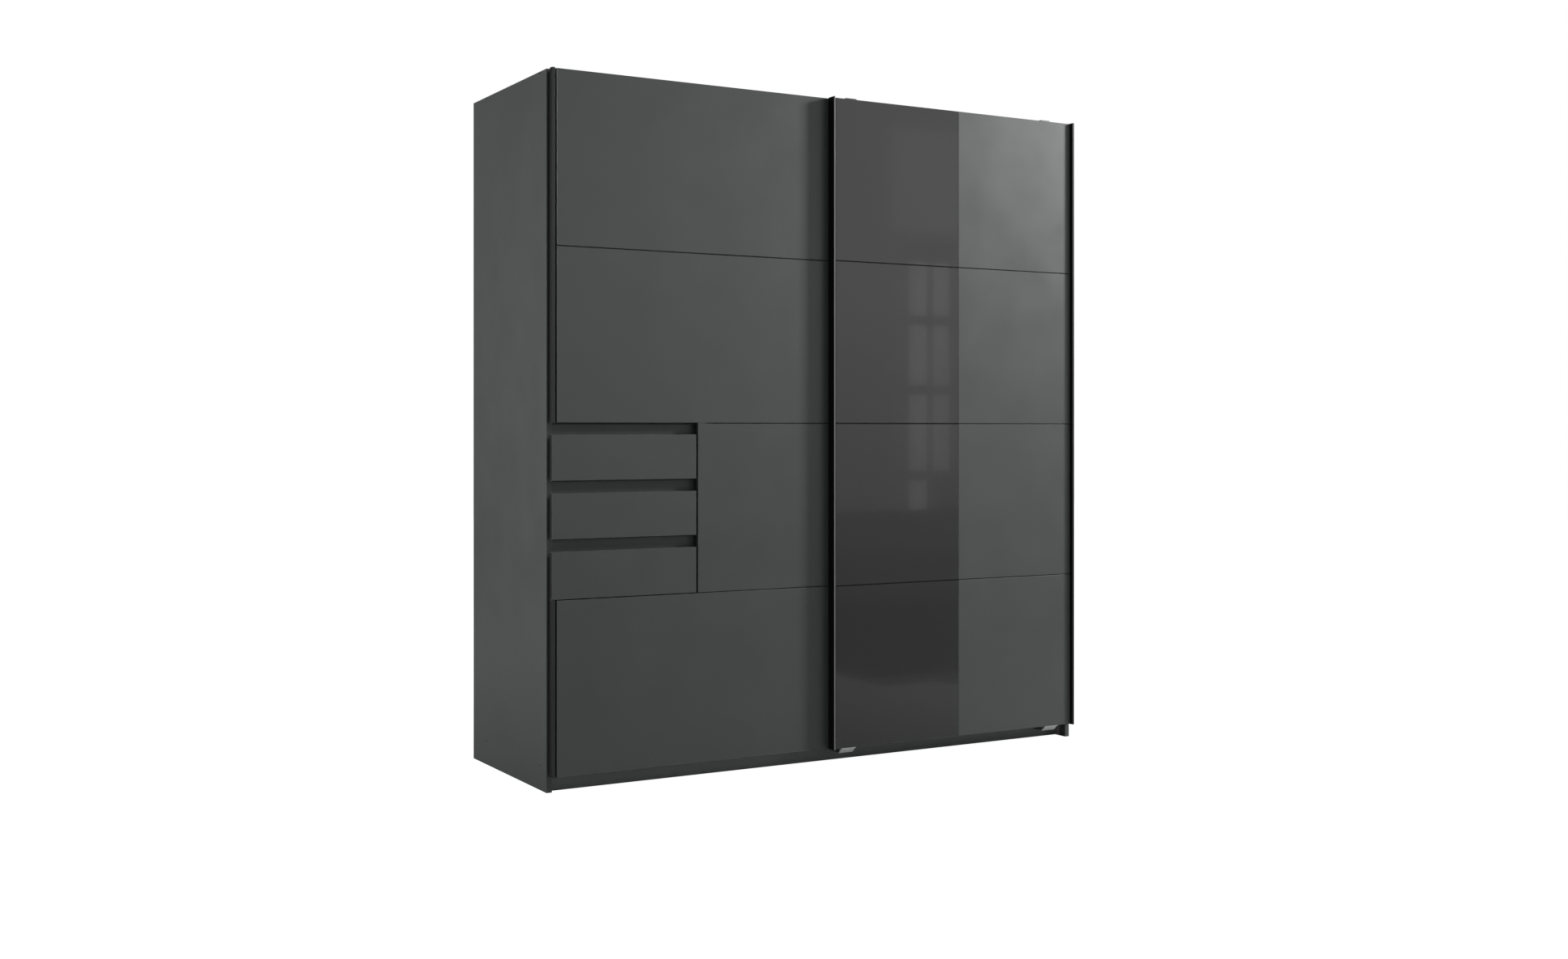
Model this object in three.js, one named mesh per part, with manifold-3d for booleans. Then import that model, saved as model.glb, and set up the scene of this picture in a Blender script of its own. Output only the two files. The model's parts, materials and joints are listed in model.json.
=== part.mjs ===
// Two-door sliding wardrobe with three drawers set into the left door.
//
// Carcass frame used below: X runs right from the left side panel's outer face, Y runs back from
// the plane of the carcass front edges, Z runs up from the floor. The doors hang in front of the
// carcass, so their Y values are negative. The outermost group moves this frame so that the
// origin lies at the centre of the wardrobe's footprint.

import * as THREE from 'three';
import { mergeVertices } from 'three/addons/utils/BufferGeometryUtils.js';
import Module from 'manifold-3d';

// ---------------------------------------------------------------- driving dimensions (mm)

const WIDTH = 1800;
const HEIGHT = 1980;
const SIDE_DEPTH = 580;
const BOARD = 16; // thickness of every chipboard panel
const GAP = 0.3; // joint gap kept between neighbouring pieces
const INNER_LEFT = BOARD + GAP;
const INNER_RIGHT = WIDTH - BOARD - GAP;

const BACK_PANEL = 3;
const BACK_Y = 570; // front face of the back panel
const INNER_BACK = BACK_Y - GAP;

const PLINTH_FRONT = 23; // set-back of plinth and bottom panel
const BOTTOM_PANEL_Z = 63; // underside of the bottom panel
const FLOOR_Z = BOTTOM_PANEL_Z + BOARD; // inside floor of the wardrobe
const TOP_PANEL_Z = HEIGHT - BOARD;
const TRACK_SPACE = 42; // depth kept free for the top track
const PARTITION_X = WIDTH / 2 - BOARD / 2;
const FILLER_DEPTH = 28; // strip that closes the door gap on the right

const UNIT_DIVIDER_X = 440; // drawer unit: left face of its divider
const UNIT_BOTTOM_Z = 512;
const UNIT_TOP_Z = 1012;
const RAIL_DEPTH = 16;
const GRIP_RAILS = [[972, UNIT_TOP_Z - GAP], [815, 858], [655, 698]]; // bottom and top of each

const HAT_SHELF_Z = 1660;
const SHELF_FRONT = 40;
const HANGING_RAIL = { y: 300, z: 1620, radius: 12.5, wall: 1.5 };

// Drawers from the top one down: height range of the front and of the box behind it.
const DRAWERS = [
  { front: [854, 980], box: [862, 970] },
  { front: [694, 819.5], box: [702, 811] },
  { front: [530, 659.5], box: [545, 651] },
];
const DRAWER_FRONT_X = [5, 446];
const DRAWER_BOX_X = [30, 426];
const DRAWER_BOX_BACK = 440;
const DRAWER_WALL = 12;
const DRAWER_BOTTOM = 4;
const BOTTOM_GROOVE_DEPTH = 5;
const BOTTOM_GROOVE_Z = 8; // height of the groove above the box's lower edge
const RUNNER_PLATE = 1.6;
const RUNNER_LEDGE = 2;
const RUNNER_REACH = 22; // how far a ledge stands out from the wall
const RUNNER_Y = [20, 440];

// Doors, four boards high. Y values are front and back faces.
const DOOR_Z = [45, 1979];
const DOOR_ROWS = 4;
const ROW_PITCH = (DOOR_Z[1] - DOOR_Z[0]) / DOOR_ROWS;
const ROW_GROOVE = 2.6;
const REAR_DOOR_Y = [-26, -10]; // left door, runs in the rear lane
const FRONT_DOOR_Y = [-48, -32]; // right door, runs in the front lane
const LEFT_DOOR_X = [5, 912];
const RIGHT_DOOR_X = [886, 1795];
const NOTCH_X = 451; // left edge of the short board beside the drawers
const EDGE_FACE = 10; // visible width of the left door's edge profiles
const EDGE_GROOVE = [4, 8]; // width and depth of the shadow groove beside them
const FIN_FRONT = -60; // front edge of the two fins on the right door
const LEFT_FIN = 4.5;
const LEFT_PROFILE = 13;
const HANDLE_FIN = 6.7;
const HANDLE_FLANGE = 18;
const GLASS_RIGHT = 1346;
const GLASS = 4;

// Running gear.
const STRAP = 2.5; // sheet steel of hangers, guides and brackets
const WHEEL = { groove: 12, flange: 14, bore: 3, width: 8 };
const AXLE_RADIUS = 2.7;
const TRACK_BASE = [1936, 1939];
const TRACK_RIDGE_TOP = 1942;
const AXLE_Z = TRACK_RIDGE_TOP + WHEEL.groove + GAP;
const LANES = { rear: 5, front: 28 }; // Y of the ridge each door's wheels roll on
const HANGER_WIDTH = 35;
const HANGER_LOW = 1900;
const REAR_HANGERS = [67, 815];
const FRONT_HANGERS = [948, 1684];
const GUIDE_WIDTH = 35;
const BRACKET_WIDTH = 50;
const FRONT_BRACKETS = [922, 1689];

// ---------------------------------------------------------------- materials

function finish(color, roughness, metalness = 0) {
  return () => new THREE.MeshStandardMaterial({ color, roughness, metalness });
}

const graphiteBoard = finish(0x3f4242, 0.55);
const innerBoard = finish(0x8c8a85, 0.65);
const backBoard = finish(0x86847f, 0.7);
const darkProfile = finish(0x262829, 0.4, 0.3);
const steelTrack = finish(0xa9abab, 0.35, 0.9);
const zincSteel = finish(0xb4b6b5, 0.4, 0.9);
const whitePlastic = finish(0xd8d8d4, 0.45);
const greyGlass = finish(0x2c2c2d, 0.08);
const whiteSteel = finish(0xdcdcd8, 0.4, 0.3);

// ---------------------------------------------------------------- shape helpers

const wasm = await Module();
wasm.setup();

function toSolid(geometry) {
  const bare = geometry.clone();
  bare.deleteAttribute('normal');
  bare.deleteAttribute('uv');
  const merged = mergeVertices(bare);
  return new wasm.Manifold(new wasm.Mesh({
    numProp: 3,
    vertProperties: merged.attributes.position.array,
    triVerts: new Uint32Array(merged.index.array),
  }));
}

function fromSolid(solid) {
  const mesh = solid.getMesh();
  const geometry = new THREE.BufferGeometry();
  geometry.setAttribute('position', new THREE.BufferAttribute(mesh.vertProperties, 3));
  geometry.setIndex(new THREE.BufferAttribute(mesh.triVerts, 1));
  geometry.computeVertexNormals();
  return geometry;
}

function polygon(points) {
  return new THREE.Shape(points.map(([u, v]) => new THREE.Vector2(u, v)));
}

function extruded(shape, length) {
  return new THREE.ExtrudeGeometry(shape, { depth: length, bevelEnabled: false });
}

function boxGeometry([x0, x1], [y0, y1], [z0, z1]) {
  const geometry = new THREE.BoxGeometry(x1 - x0, y1 - y0, z1 - z0);
  return geometry.translate((x0 + x1) / 2, (y0 + y1) / 2, (z0 + z1) / 2);
}

// Section of a strip bent along a path of [u, v] points; its thickness lies left of the path.
function bentStrip(path, thickness) {
  const points = path.map(([u, v]) => new THREE.Vector2(u, v));
  const leftOf = (from, to) => {
    const along = to.clone().sub(from).normalize();
    return new THREE.Vector2(-along.y, along.x);
  };
  const offset = points.map((point, i) => {
    const first = i === 0;
    const last = i === points.length - 1;
    const before = leftOf(points[first ? 0 : i - 1], points[first ? 1 : i]);
    const after = last ? before : leftOf(point, points[i + 1]);
    const mitre = before.clone().add(after);
    return point.clone().addScaledVector(mitre, (2 * thickness) / mitre.lengthSq());
  });
  return new THREE.Shape([...points, ...offset.reverse()]);
}

// ---------------------------------------------------------------- placing pieces

const carcass = new THREE.Group();
const leftDoor = new THREE.Group();
const rightDoor = new THREE.Group();
const drawers = new THREE.Group();

function add(group, name, geometry, material) {
  const mesh = new THREE.Mesh(geometry, material());
  mesh.name = name;
  group.add(mesh);
  return mesh;
}

function addBoard(group, name, material, [x0, x1], [y0, y1], [z0, z1]) {
  const mesh = add(group, name, new THREE.BoxGeometry(x1 - x0, y1 - y0, z1 - z0), material);
  mesh.position.set((x0 + x1) / 2, (y0 + y1) / 2, (z0 + z1) / 2);
}

// A section drawn in (Y, Z), drawn out along X from x0 on.
function layAlongX(mesh, x0) {
  mesh.rotation.set(Math.PI / 2, Math.PI / 2, 0);
  mesh.position.x = x0;
}

// A section drawn in (X, Z), drawn out along Y and ending at y1.
function layAlongY(mesh, y1) {
  mesh.rotation.x = Math.PI / 2;
  mesh.position.y = y1;
}

// ---------------------------------------------------------------- carcass

function addSides() {
  const tall = [0, HEIGHT];
  addBoard(carcass, 'left_side_panel', graphiteBoard, [0, BOARD], [0, SIDE_DEPTH], tall);
  const right = [WIDTH - BOARD, WIDTH];
  addBoard(carcass, 'right_side_panel', graphiteBoard, right, [0, SIDE_DEPTH], tall);
  addBoard(carcass, 'right_filler_strip', graphiteBoard, right, [-FILLER_DEPTH, -GAP], tall);
}

function addTopAndBottom() {
  const span = [INNER_LEFT, INNER_RIGHT];
  const top = [TOP_PANEL_Z, HEIGHT];
  addBoard(carcass, 'top_panel', innerBoard, span, [TRACK_SPACE, INNER_BACK], top);
  const bottom = [BOTTOM_PANEL_Z, FLOOR_Z];
  addBoard(carcass, 'bottom_panel', innerBoard, span, [PLINTH_FRONT, INNER_BACK], bottom);
  const plinthDepth = [PLINTH_FRONT, PLINTH_FRONT + BOARD];
  addBoard(carcass, 'plinth', graphiteBoard, span, plinthDepth, [0, BOTTOM_PANEL_Z - GAP]);
  const backDepth = [BACK_Y, BACK_Y + BACK_PANEL];
  addBoard(carcass, 'back_panel', backBoard, span, backDepth, [BOTTOM_PANEL_Z, HEIGHT]);
}

// The partition is notched at its top front corner to let the top track pass.
function addPartition() {
  const low = FLOOR_Z + GAP;
  const high = TOP_PANEL_Z - GAP;
  const underTrack = TRACK_BASE[0] - GAP;
  const side = polygon([
    [0, low], [INNER_BACK, low], [INNER_BACK, high], [TRACK_SPACE, high],
    [TRACK_SPACE, underTrack], [0, underTrack],
  ]);
  layAlongX(add(carcass, 'centre_partition', extruded(side, BOARD), innerBoard), PARTITION_X);
}

function addTopTrack() {
  const [low, floor] = TRACK_BASE;
  const lipTop = 1948;
  const lip = 2.5;
  const front = -3;
  const middle = 16;
  const back = TRACK_SPACE - GAP;
  const ridge = (y) => [
    [y + 1.2, floor], [y + 0.8, TRACK_RIDGE_TOP], [y - 0.8, TRACK_RIDGE_TOP], [y - 1.2, floor],
  ];
  const section = polygon([
    [front, low], [back, low], [back, 1976], [back - lip, 1976], [back - lip, floor],
    ...ridge(LANES.front),
    [middle + lip, floor], [middle + lip, lipTop], [middle, lipTop], [middle, floor],
    ...ridge(LANES.rear),
    [front + lip, floor], [front + lip, lipTop], [front, lipTop],
  ]);
  const track = extruded(section, INNER_RIGHT - INNER_LEFT);
  layAlongX(add(carcass, 'top_track', track, steelTrack), INNER_LEFT);
}

// Two channels open downwards, one for each door's guide blades.
function addBottomRail() {
  const low = 54;
  const roof = 71.5;
  const top = 74;
  const flangeTop = FLOOR_Z;
  const back = PLINTH_FRONT - GAP;
  const section = polygon([
    [-4, low], [-1.5, low], [-1.5, roof], [6.5, roof], [6.5, low],
    [9, low], [9, roof], [19.5, roof], [19.5, low],
    [back, low], [back, flangeTop], [20.2, flangeTop], [20.2, top], [-4, top],
  ]);
  const rail = extruded(section, INNER_RIGHT - INNER_LEFT);
  layAlongX(add(carcass, 'bottom_guide_rail', rail, darkProfile), INNER_LEFT);
}

// Left compartment: two shelves with a divider between them frame the drawers.
function addDrawerUnit() {
  const depth = [0, INNER_BACK];
  const span = [INNER_LEFT, PARTITION_X - GAP];
  const bottom = [UNIT_BOTTOM_Z, UNIT_BOTTOM_Z + BOARD];
  addBoard(carcass, 'unit_bottom_shelf', innerBoard, span, depth, bottom);
  const top = [UNIT_TOP_Z, UNIT_TOP_Z + BOARD];
  addBoard(carcass, 'unit_top_shelf', innerBoard, span, depth, top);

  const notches = GRIP_RAILS.slice(1).flatMap(([low, high]) => [
    [0, high + GAP], [RAIL_DEPTH + GAP, high + GAP], [RAIL_DEPTH + GAP, low - GAP],
    [0, low - GAP],
  ]);
  const low = UNIT_BOTTOM_Z + BOARD + GAP;
  const high = UNIT_TOP_Z - GAP;
  const side = polygon([[0, low], [INNER_BACK, low], [INNER_BACK, high], [0, high], ...notches]);
  const divider = add(carcass, 'unit_divider', extruded(side, BOARD), innerBoard);
  layAlongX(divider, UNIT_DIVIDER_X);

  GRIP_RAILS.forEach((height, i) => {
    const end = i === 0 ? UNIT_DIVIDER_X - GAP : UNIT_DIVIDER_X + BOARD;
    const name = `grip_rail_${i + 1}`;
    addBoard(carcass, name, graphiteBoard, [INNER_LEFT, end], [0, RAIL_DEPTH], height);
  });
}

// One plate with a ledge under each drawer; side is +1 on the left wall and -1 on the right one.
function addRunnerRack(name, wallX, side) {
  const from = wallX + side * GAP;
  const plate = from + side * RUNNER_PLATE;
  const reach = from + side * RUNNER_REACH;
  const ledges = DRAWERS.flatMap(({ box }) => [
    [plate, box[0] - GAP], [reach, box[0] - GAP],
    [reach, box[0] - GAP - RUNNER_LEDGE], [plate, box[0] - GAP - RUNNER_LEDGE],
  ]);
  const low = 533;
  const high = 900;
  const section = polygon([[plate, high], ...ledges, [plate, low], [from, low], [from, high]]);
  const rack = extruded(section, RUNNER_Y[1] - RUNNER_Y[0]);
  layAlongY(add(carcass, name, rack, whiteSteel), RUNNER_Y[1]);
}

function addShelvesAndRails() {
  const spans = {
    left: [INNER_LEFT, PARTITION_X - GAP],
    right: [PARTITION_X + BOARD + GAP, INNER_RIGHT],
  };
  const { y, z, radius, wall } = HANGING_RAIL;
  const ring = new THREE.Shape().absarc(0, 0, radius, 0, 2 * Math.PI);
  ring.holes.push(new THREE.Path().absarc(0, 0, radius - wall, 0, 2 * Math.PI));
  for (const [side, span] of Object.entries(spans)) {
    const height = [HAT_SHELF_Z, HAT_SHELF_Z + BOARD];
    addBoard(carcass, `shelf_${side}`, innerBoard, span, [SHELF_FRONT, INNER_BACK], height);
    const tube = new THREE.ExtrudeGeometry(ring, {
      depth: span[1] - span[0], bevelEnabled: false, curveSegments: 14,
    });
    const rail = add(carcass, `clothes_rail_${side}`, tube, steelTrack);
    layAlongX(rail, span[0]);
    rail.position.y = y;
    rail.position.z = z;
  }
}

// ---------------------------------------------------------------- drawers

// Sides and back of a drawer box are one folded strip with a groove for the bottom.
function drawerWrap([low, high]) {
  const [x0, x1] = DRAWER_BOX_X;
  const front = REAR_DOOR_Y[1] + GAP;
  const back = DRAWER_BOX_BACK;
  const outline = polygon([
    [x0, front], [x0 + DRAWER_WALL, front], [x0 + DRAWER_WALL, back - DRAWER_WALL],
    [x1 - DRAWER_WALL, back - DRAWER_WALL], [x1 - DRAWER_WALL, front], [x1, front],
    [x1, back], [x0, back],
  ]);
  const inset = DRAWER_WALL - BOTTOM_GROOVE_DEPTH;
  const groove = boxGeometry(
    [x0 + inset, x1 - inset],
    [front - BOARD, back - inset],
    [BOTTOM_GROOVE_Z, BOTTOM_GROOVE_Z + DRAWER_BOTTOM + 2 * GAP],
  );
  return fromSolid(toSolid(extruded(outline, high - low)).subtract(toSolid(groove)));
}

function addDrawer(number, { front, box }) {
  const name = `drawer_${number}`;
  addBoard(drawers, `${name}_front`, graphiteBoard, DRAWER_FRONT_X, REAR_DOOR_Y, front);
  add(drawers, `${name}_wrap`, drawerWrap(box), innerBoard).position.z = box[0];
  const inset = DRAWER_WALL - BOTTOM_GROOVE_DEPTH + GAP;
  const bottom = box[0] + BOTTOM_GROOVE_Z + GAP;
  addBoard(
    drawers, `${name}_bottom`, backBoard,
    [DRAWER_BOX_X[0] + inset, DRAWER_BOX_X[1] - inset],
    [REAR_DOOR_Y[1] + 2 * GAP, DRAWER_BOX_BACK - inset],
    [bottom, bottom + DRAWER_BOTTOM],
  );
}

// ---------------------------------------------------------------- doors

// Height range of a door board; row 1 is the top one.
function rowHeight(row) {
  const low = DOOR_Z[1] - row * ROW_PITCH;
  const half = ROW_GROOVE / 2;
  return [
    low + (row === DOOR_ROWS ? 0 : half),
    low + ROW_PITCH - (row === 1 ? 0 : half),
  ];
}

function addUpright(group, name, section, [z0, z1]) {
  add(group, name, extruded(section, z1 - z0), darkProfile).position.z = z0;
}

function addLeftDoorPanels() {
  const [x0, x1] = LEFT_DOOR_X;
  const [front, back] = REAR_DOOR_Y;
  const [groove, depth] = EDGE_GROOVE;
  const inner = EDGE_FACE + groove;
  const step = front + depth;
  const edgeLeft = polygon([
    [x0, front], [x0 + EDGE_FACE, front], [x0 + EDGE_FACE, step], [x0 + inner, step],
    [x0 + inner, back], [x0, back],
  ]);
  const edgeRight = polygon([
    [x1 - inner, back], [x1, back], [x1, front], [x1 - EDGE_FACE, front],
    [x1 - EDGE_FACE, step], [x1 - inner, step],
  ]);
  addUpright(leftDoor, 'left_door_profile_upper', edgeLeft, [rowHeight(2)[0], DOOR_Z[1]]);
  addUpright(leftDoor, 'left_door_profile_lower', edgeLeft, rowHeight(DOOR_ROWS));
  addUpright(leftDoor, 'left_door_profile_right', edgeRight, DOOR_Z);

  for (let row = 1; row <= DOOR_ROWS; row += 1) {
    const besideDrawers = row === 3;
    const from = besideDrawers ? NOTCH_X : x0 + inner + GAP;
    const span = [from, x1 - inner - GAP];
    addBoard(leftDoor, `left_door_board_${row}`, graphiteBoard, span, REAR_DOOR_Y, rowHeight(row));
  }
}

// Each board of the right door is rebated on its left half to hold a glass pane flush.
function addRightDoorPanels() {
  const [x0, x1] = RIGHT_DOOR_X;
  const [front, back] = FRONT_DOOR_Y;
  const boardLeft = x0 + LEFT_PROFILE + GAP;
  const boardRight = x1 - HANDLE_FIN - GAP;
  const rebate = front + GLASS + GAP;
  const section = polygon([
    [boardLeft, back], [boardRight, back], [boardRight, front], [GLASS_RIGHT + GAP, front],
    [GLASS_RIGHT + GAP, rebate], [boardLeft, rebate],
  ]);
  for (let row = 1; row <= DOOR_ROWS; row += 1) {
    const [z0, z1] = rowHeight(row);
    const board = extruded(section, z1 - z0);
    add(rightDoor, `right_door_board_${row}`, board, graphiteBoard).position.z = z0;
    const pane = [boardLeft, GLASS_RIGHT];
    addBoard(rightDoor, `right_door_glass_${row}`, greyGlass, pane, [front, front + GLASS], [z0, z1]);
  }

  const finBack = back + 4;
  const web = front + GLASS;
  const leftProfile = polygon([
    [x0, FIN_FRONT], [x0 + LEFT_FIN, FIN_FRONT], [x0 + LEFT_FIN, web], [x0 + LEFT_PROFILE, web],
    [x0 + LEFT_PROFILE, finBack], [x0, finBack],
  ]);
  addUpright(rightDoor, 'right_door_profile_left', leftProfile, DOOR_Z);

  const flangeBack = -FILLER_DEPTH - 2;
  const flangeEnd = x1 - HANDLE_FIN - HANDLE_FLANGE;
  const handle = polygon([
    [x1 - HANDLE_FIN, FIN_FRONT], [x1, FIN_FRONT], [x1, flangeBack], [flangeEnd, flangeBack],
    [flangeEnd, back + GAP], [x1 - HANDLE_FIN, back + GAP],
  ]);
  addUpright(rightDoor, 'right_door_handle_profile', handle, DOOR_Z);
}

// ---------------------------------------------------------------- running gear

function wheelGeometry() {
  const { groove, flange, bore, width } = WHEEL;
  const half = width / 2;
  const profile = [
    [bore, -half], [flange, -half], [flange, -2.6], [groove, -1.7], [groove, 1.7],
    [flange, 2.6], [flange, half], [bore, half], [bore, -half],
  ].map(([r, y]) => new THREE.Vector2(r, y));
  return new THREE.LatheGeometry(profile, 28);
}

// A hook over the door's top edge that carries the axle pin of one wheel.
function hangerGeometry(doorBack, topZ, lane) {
  const leg = lane + WHEEL.width / 2 + 1;
  const hook = bentStrip([
    [leg + STRAP, AXLE_Z - 8], [leg + STRAP, topZ], [doorBack + GAP, topZ],
    [doorBack + GAP, HANGER_LOW],
  ], STRAP);
  const pinStart = lane - WHEEL.width / 2 - 0.4;
  const pinEnd = leg + STRAP / 2;
  const pin = new THREE.CylinderGeometry(AXLE_RADIUS, AXLE_RADIUS, pinEnd - pinStart, 20);
  pin.rotateZ(Math.PI / 2);
  pin.translate((pinStart + pinEnd) / 2, AXLE_Z, HANGER_WIDTH / 2);
  return fromSolid(toSolid(extruded(hook, HANGER_WIDTH)).add(toSolid(pin)));
}

function addHangersAndWheels(group, door, doorBack, topZ, lane, starts) {
  ['left', 'right'].forEach((end, i) => {
    const hanger = hangerGeometry(doorBack, topZ, lane);
    layAlongX(add(group, `${door}_hanger_${end}`, hanger, zincSteel), starts[i]);
    const wheel = add(group, `${door}_wheel_${end}`, wheelGeometry(), whitePlastic);
    wheel.position.set(starts[i] + HANGER_WIDTH / 2, lane, AXLE_Z);
  });
}

function addRearDoorGuides() {
  const back = REAR_DOOR_Y[1] + GAP;
  const low = DOOR_Z[0] + 2;
  const guide = bentStrip([[back, 95], [back, low], [4, low], [4, 66]], STRAP);
  ['left', 'right'].forEach((end, i) => {
    const geometry = extruded(guide, GUIDE_WIDTH);
    layAlongX(add(leftDoor, `left_door_guide_${end}`, geometry, zincSteel), REAR_HANGERS[i]);
  });
}

// The bracket folds under the front door, passes below the rear door and turns up into the rail.
function addFrontDoorBrackets() {
  const underside = 27;
  const lip = DOOR_Z[0] - GAP - STRAP;
  const foot = bentStrip([
    [-45, lip], [-41.5, lip], [-26, underside], [16, underside], [16, 66],
  ], STRAP);
  const legBack = FRONT_DOOR_Y[1] + GAP;
  const leg = boxGeometry([legBack, legBack + STRAP], [32, 100], [0, BRACKET_WIDTH]);
  const bracket = fromSolid(toSolid(extruded(foot, BRACKET_WIDTH)).add(toSolid(leg)));
  ['left', 'right'].forEach((end, i) => {
    const mesh = add(rightDoor, `right_door_bracket_${end}`, bracket.clone(), zincSteel);
    layAlongX(mesh, FRONT_BRACKETS[i]);
  });
}

// ---------------------------------------------------------------- assembly

addSides();
addTopAndBottom();
addPartition();
addTopTrack();
addBottomRail();
addDrawerUnit();
addRunnerRack('runner_rack_left', BOARD, 1);
addRunnerRack('runner_rack_right', UNIT_DIVIDER_X, -1);
addShelvesAndRails();
DRAWERS.forEach((drawer, i) => addDrawer(i + 1, drawer));
addLeftDoorPanels();
addRightDoorPanels();
addHangersAndWheels(leftDoor, 'left_door', REAR_DOOR_Y[1], 1972, LANES.rear, REAR_HANGERS);
addHangersAndWheels(rightDoor, 'right_door', FRONT_DOOR_Y[1], 1986, LANES.front, FRONT_HANGERS);
addRearDoorGuides();
addFrontDoorBrackets();

const wardrobe = new THREE.Group();
wardrobe.add(carcass, leftDoor, rightDoor, drawers);
wardrobe.position.set(-WIDTH / 2, -(FIN_FRONT + SIDE_DEPTH) / 2, 0);

export default wardrobe;
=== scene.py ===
"""Sliding door wardrobe: finished boards, running gear and fittings around the fixed frame."""

import json
import math

import bmesh
import bpy
from mathutils import Matrix, Vector


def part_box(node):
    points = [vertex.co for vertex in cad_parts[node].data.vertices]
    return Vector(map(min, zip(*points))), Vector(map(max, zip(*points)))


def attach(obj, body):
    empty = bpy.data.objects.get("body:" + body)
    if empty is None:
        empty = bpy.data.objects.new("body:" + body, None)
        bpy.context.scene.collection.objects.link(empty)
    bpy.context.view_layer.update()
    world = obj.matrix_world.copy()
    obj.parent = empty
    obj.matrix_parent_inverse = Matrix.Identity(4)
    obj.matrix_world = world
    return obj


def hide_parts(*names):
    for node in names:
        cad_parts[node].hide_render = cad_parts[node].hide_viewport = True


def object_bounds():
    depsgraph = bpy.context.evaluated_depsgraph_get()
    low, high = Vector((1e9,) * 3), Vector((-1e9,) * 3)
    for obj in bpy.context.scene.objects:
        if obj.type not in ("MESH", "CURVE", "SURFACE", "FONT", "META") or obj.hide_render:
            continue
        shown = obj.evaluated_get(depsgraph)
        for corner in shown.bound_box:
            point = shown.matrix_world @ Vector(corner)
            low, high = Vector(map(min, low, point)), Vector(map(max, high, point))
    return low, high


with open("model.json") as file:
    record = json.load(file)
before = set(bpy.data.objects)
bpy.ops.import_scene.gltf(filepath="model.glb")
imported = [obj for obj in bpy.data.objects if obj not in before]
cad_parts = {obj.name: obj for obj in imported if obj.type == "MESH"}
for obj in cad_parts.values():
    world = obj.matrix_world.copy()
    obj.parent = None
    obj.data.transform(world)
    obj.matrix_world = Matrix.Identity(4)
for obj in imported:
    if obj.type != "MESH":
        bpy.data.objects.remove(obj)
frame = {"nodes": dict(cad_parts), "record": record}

bl_info = {
    "name": "Sliding Door Wardrobe",
    "version": (1, 0, 0),
    "blender": (4, 5, 0),
    "location": "View3D > Sidebar > Wardrobe",
    "description": "Builds the finished pieces of a two-door sliding wardrobe with drawers",
    "category": "Object",
}

CAD_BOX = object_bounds()
MM = 0.001
AXES = {"x": 0, "y": 1, "z": 2}
JOINT_PLAY = 0.3 * MM  # gap that the frame keeps between neighbouring boards
WELD = 1e-6  # corners closer than this are one corner
FLAT = math.radians(1)  # faces that meet flatter than this are one face
SHARP = math.radians(50)  # edges sharper than this stay hard when a piece is shaded smooth
STRAP = 2.5 * MM  # sheet steel of hangers, guides and brackets
ROWS = (1, 2, 3, 4)
DRAWERS = (1, 2, 3)
ENDS = ("left", "right")
DOORS = ("left_door", "right_door")


# ------------------------------------------------------------------ settings

class WardrobeSizes(bpy.types.PropertyGroup):
    edge_band: bpy.props.FloatProperty(
        name="Edge band", description="Thickness of the plastic band on a board's edge",
        default=1.0 * MM, unit="LENGTH")
    band_round: bpy.props.FloatProperty(
        name="Band rounding", description="Radius along the outer edges of a band",
        default=0.7 * MM, unit="LENGTH")
    board_round: bpy.props.FloatProperty(
        name="Board rounding", description="Radius along the unbanded edges of a board",
        default=0.2 * MM, unit="LENGTH")
    profile_round: bpy.props.FloatProperty(
        name="Profile rounding", description="Radius along the edges of a metal profile",
        default=0.5 * MM, unit="LENGTH")
    glass_chamfer: bpy.props.FloatProperty(
        name="Glass chamfer", description="Polished chamfer round each glass pane",
        default=0.8 * MM, unit="LENGTH")
    bend_radius: bpy.props.FloatProperty(
        name="Bend radius", description="Inner radius of the bends in sheet steel",
        default=1.6 * MM, unit="LENGTH")
    screw_head: bpy.props.FloatProperty(
        name="Screw head", description="Radius of a pan head screw",
        default=4.0 * MM, unit="LENGTH")
    cap_radius: bpy.props.FloatProperty(
        name="Cap radius", description="Radius of a screw cover cap",
        default=6.0 * MM, unit="LENGTH")


class WardrobeFinishes(bpy.types.PropertyGroup):
    graphite: bpy.props.FloatVectorProperty(
        name="Graphite", description="Melamine on fronts and outer faces",
        subtype="COLOR", size=3, default=(0.0565, 0.0615, 0.0610))
    lining: bpy.props.FloatVectorProperty(
        name="Lining", description="Linen-look melamine inside",
        subtype="COLOR", size=3, default=(0.34, 0.33, 0.31))
    profile: bpy.props.FloatVectorProperty(
        name="Profile", description="Coating of the door profiles",
        subtype="COLOR", size=3, default=(0.021, 0.022, 0.023))
    glass: bpy.props.FloatVectorProperty(
        name="Glass", description="Lacquer seen through the glass",
        subtype="COLOR", size=3, default=(0.014, 0.014, 0.0145))
    zinc: bpy.props.FloatVectorProperty(
        name="Zinc", description="Zinc plating on hangers and brackets",
        subtype="COLOR", size=3, default=(0.60, 0.61, 0.61))


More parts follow.
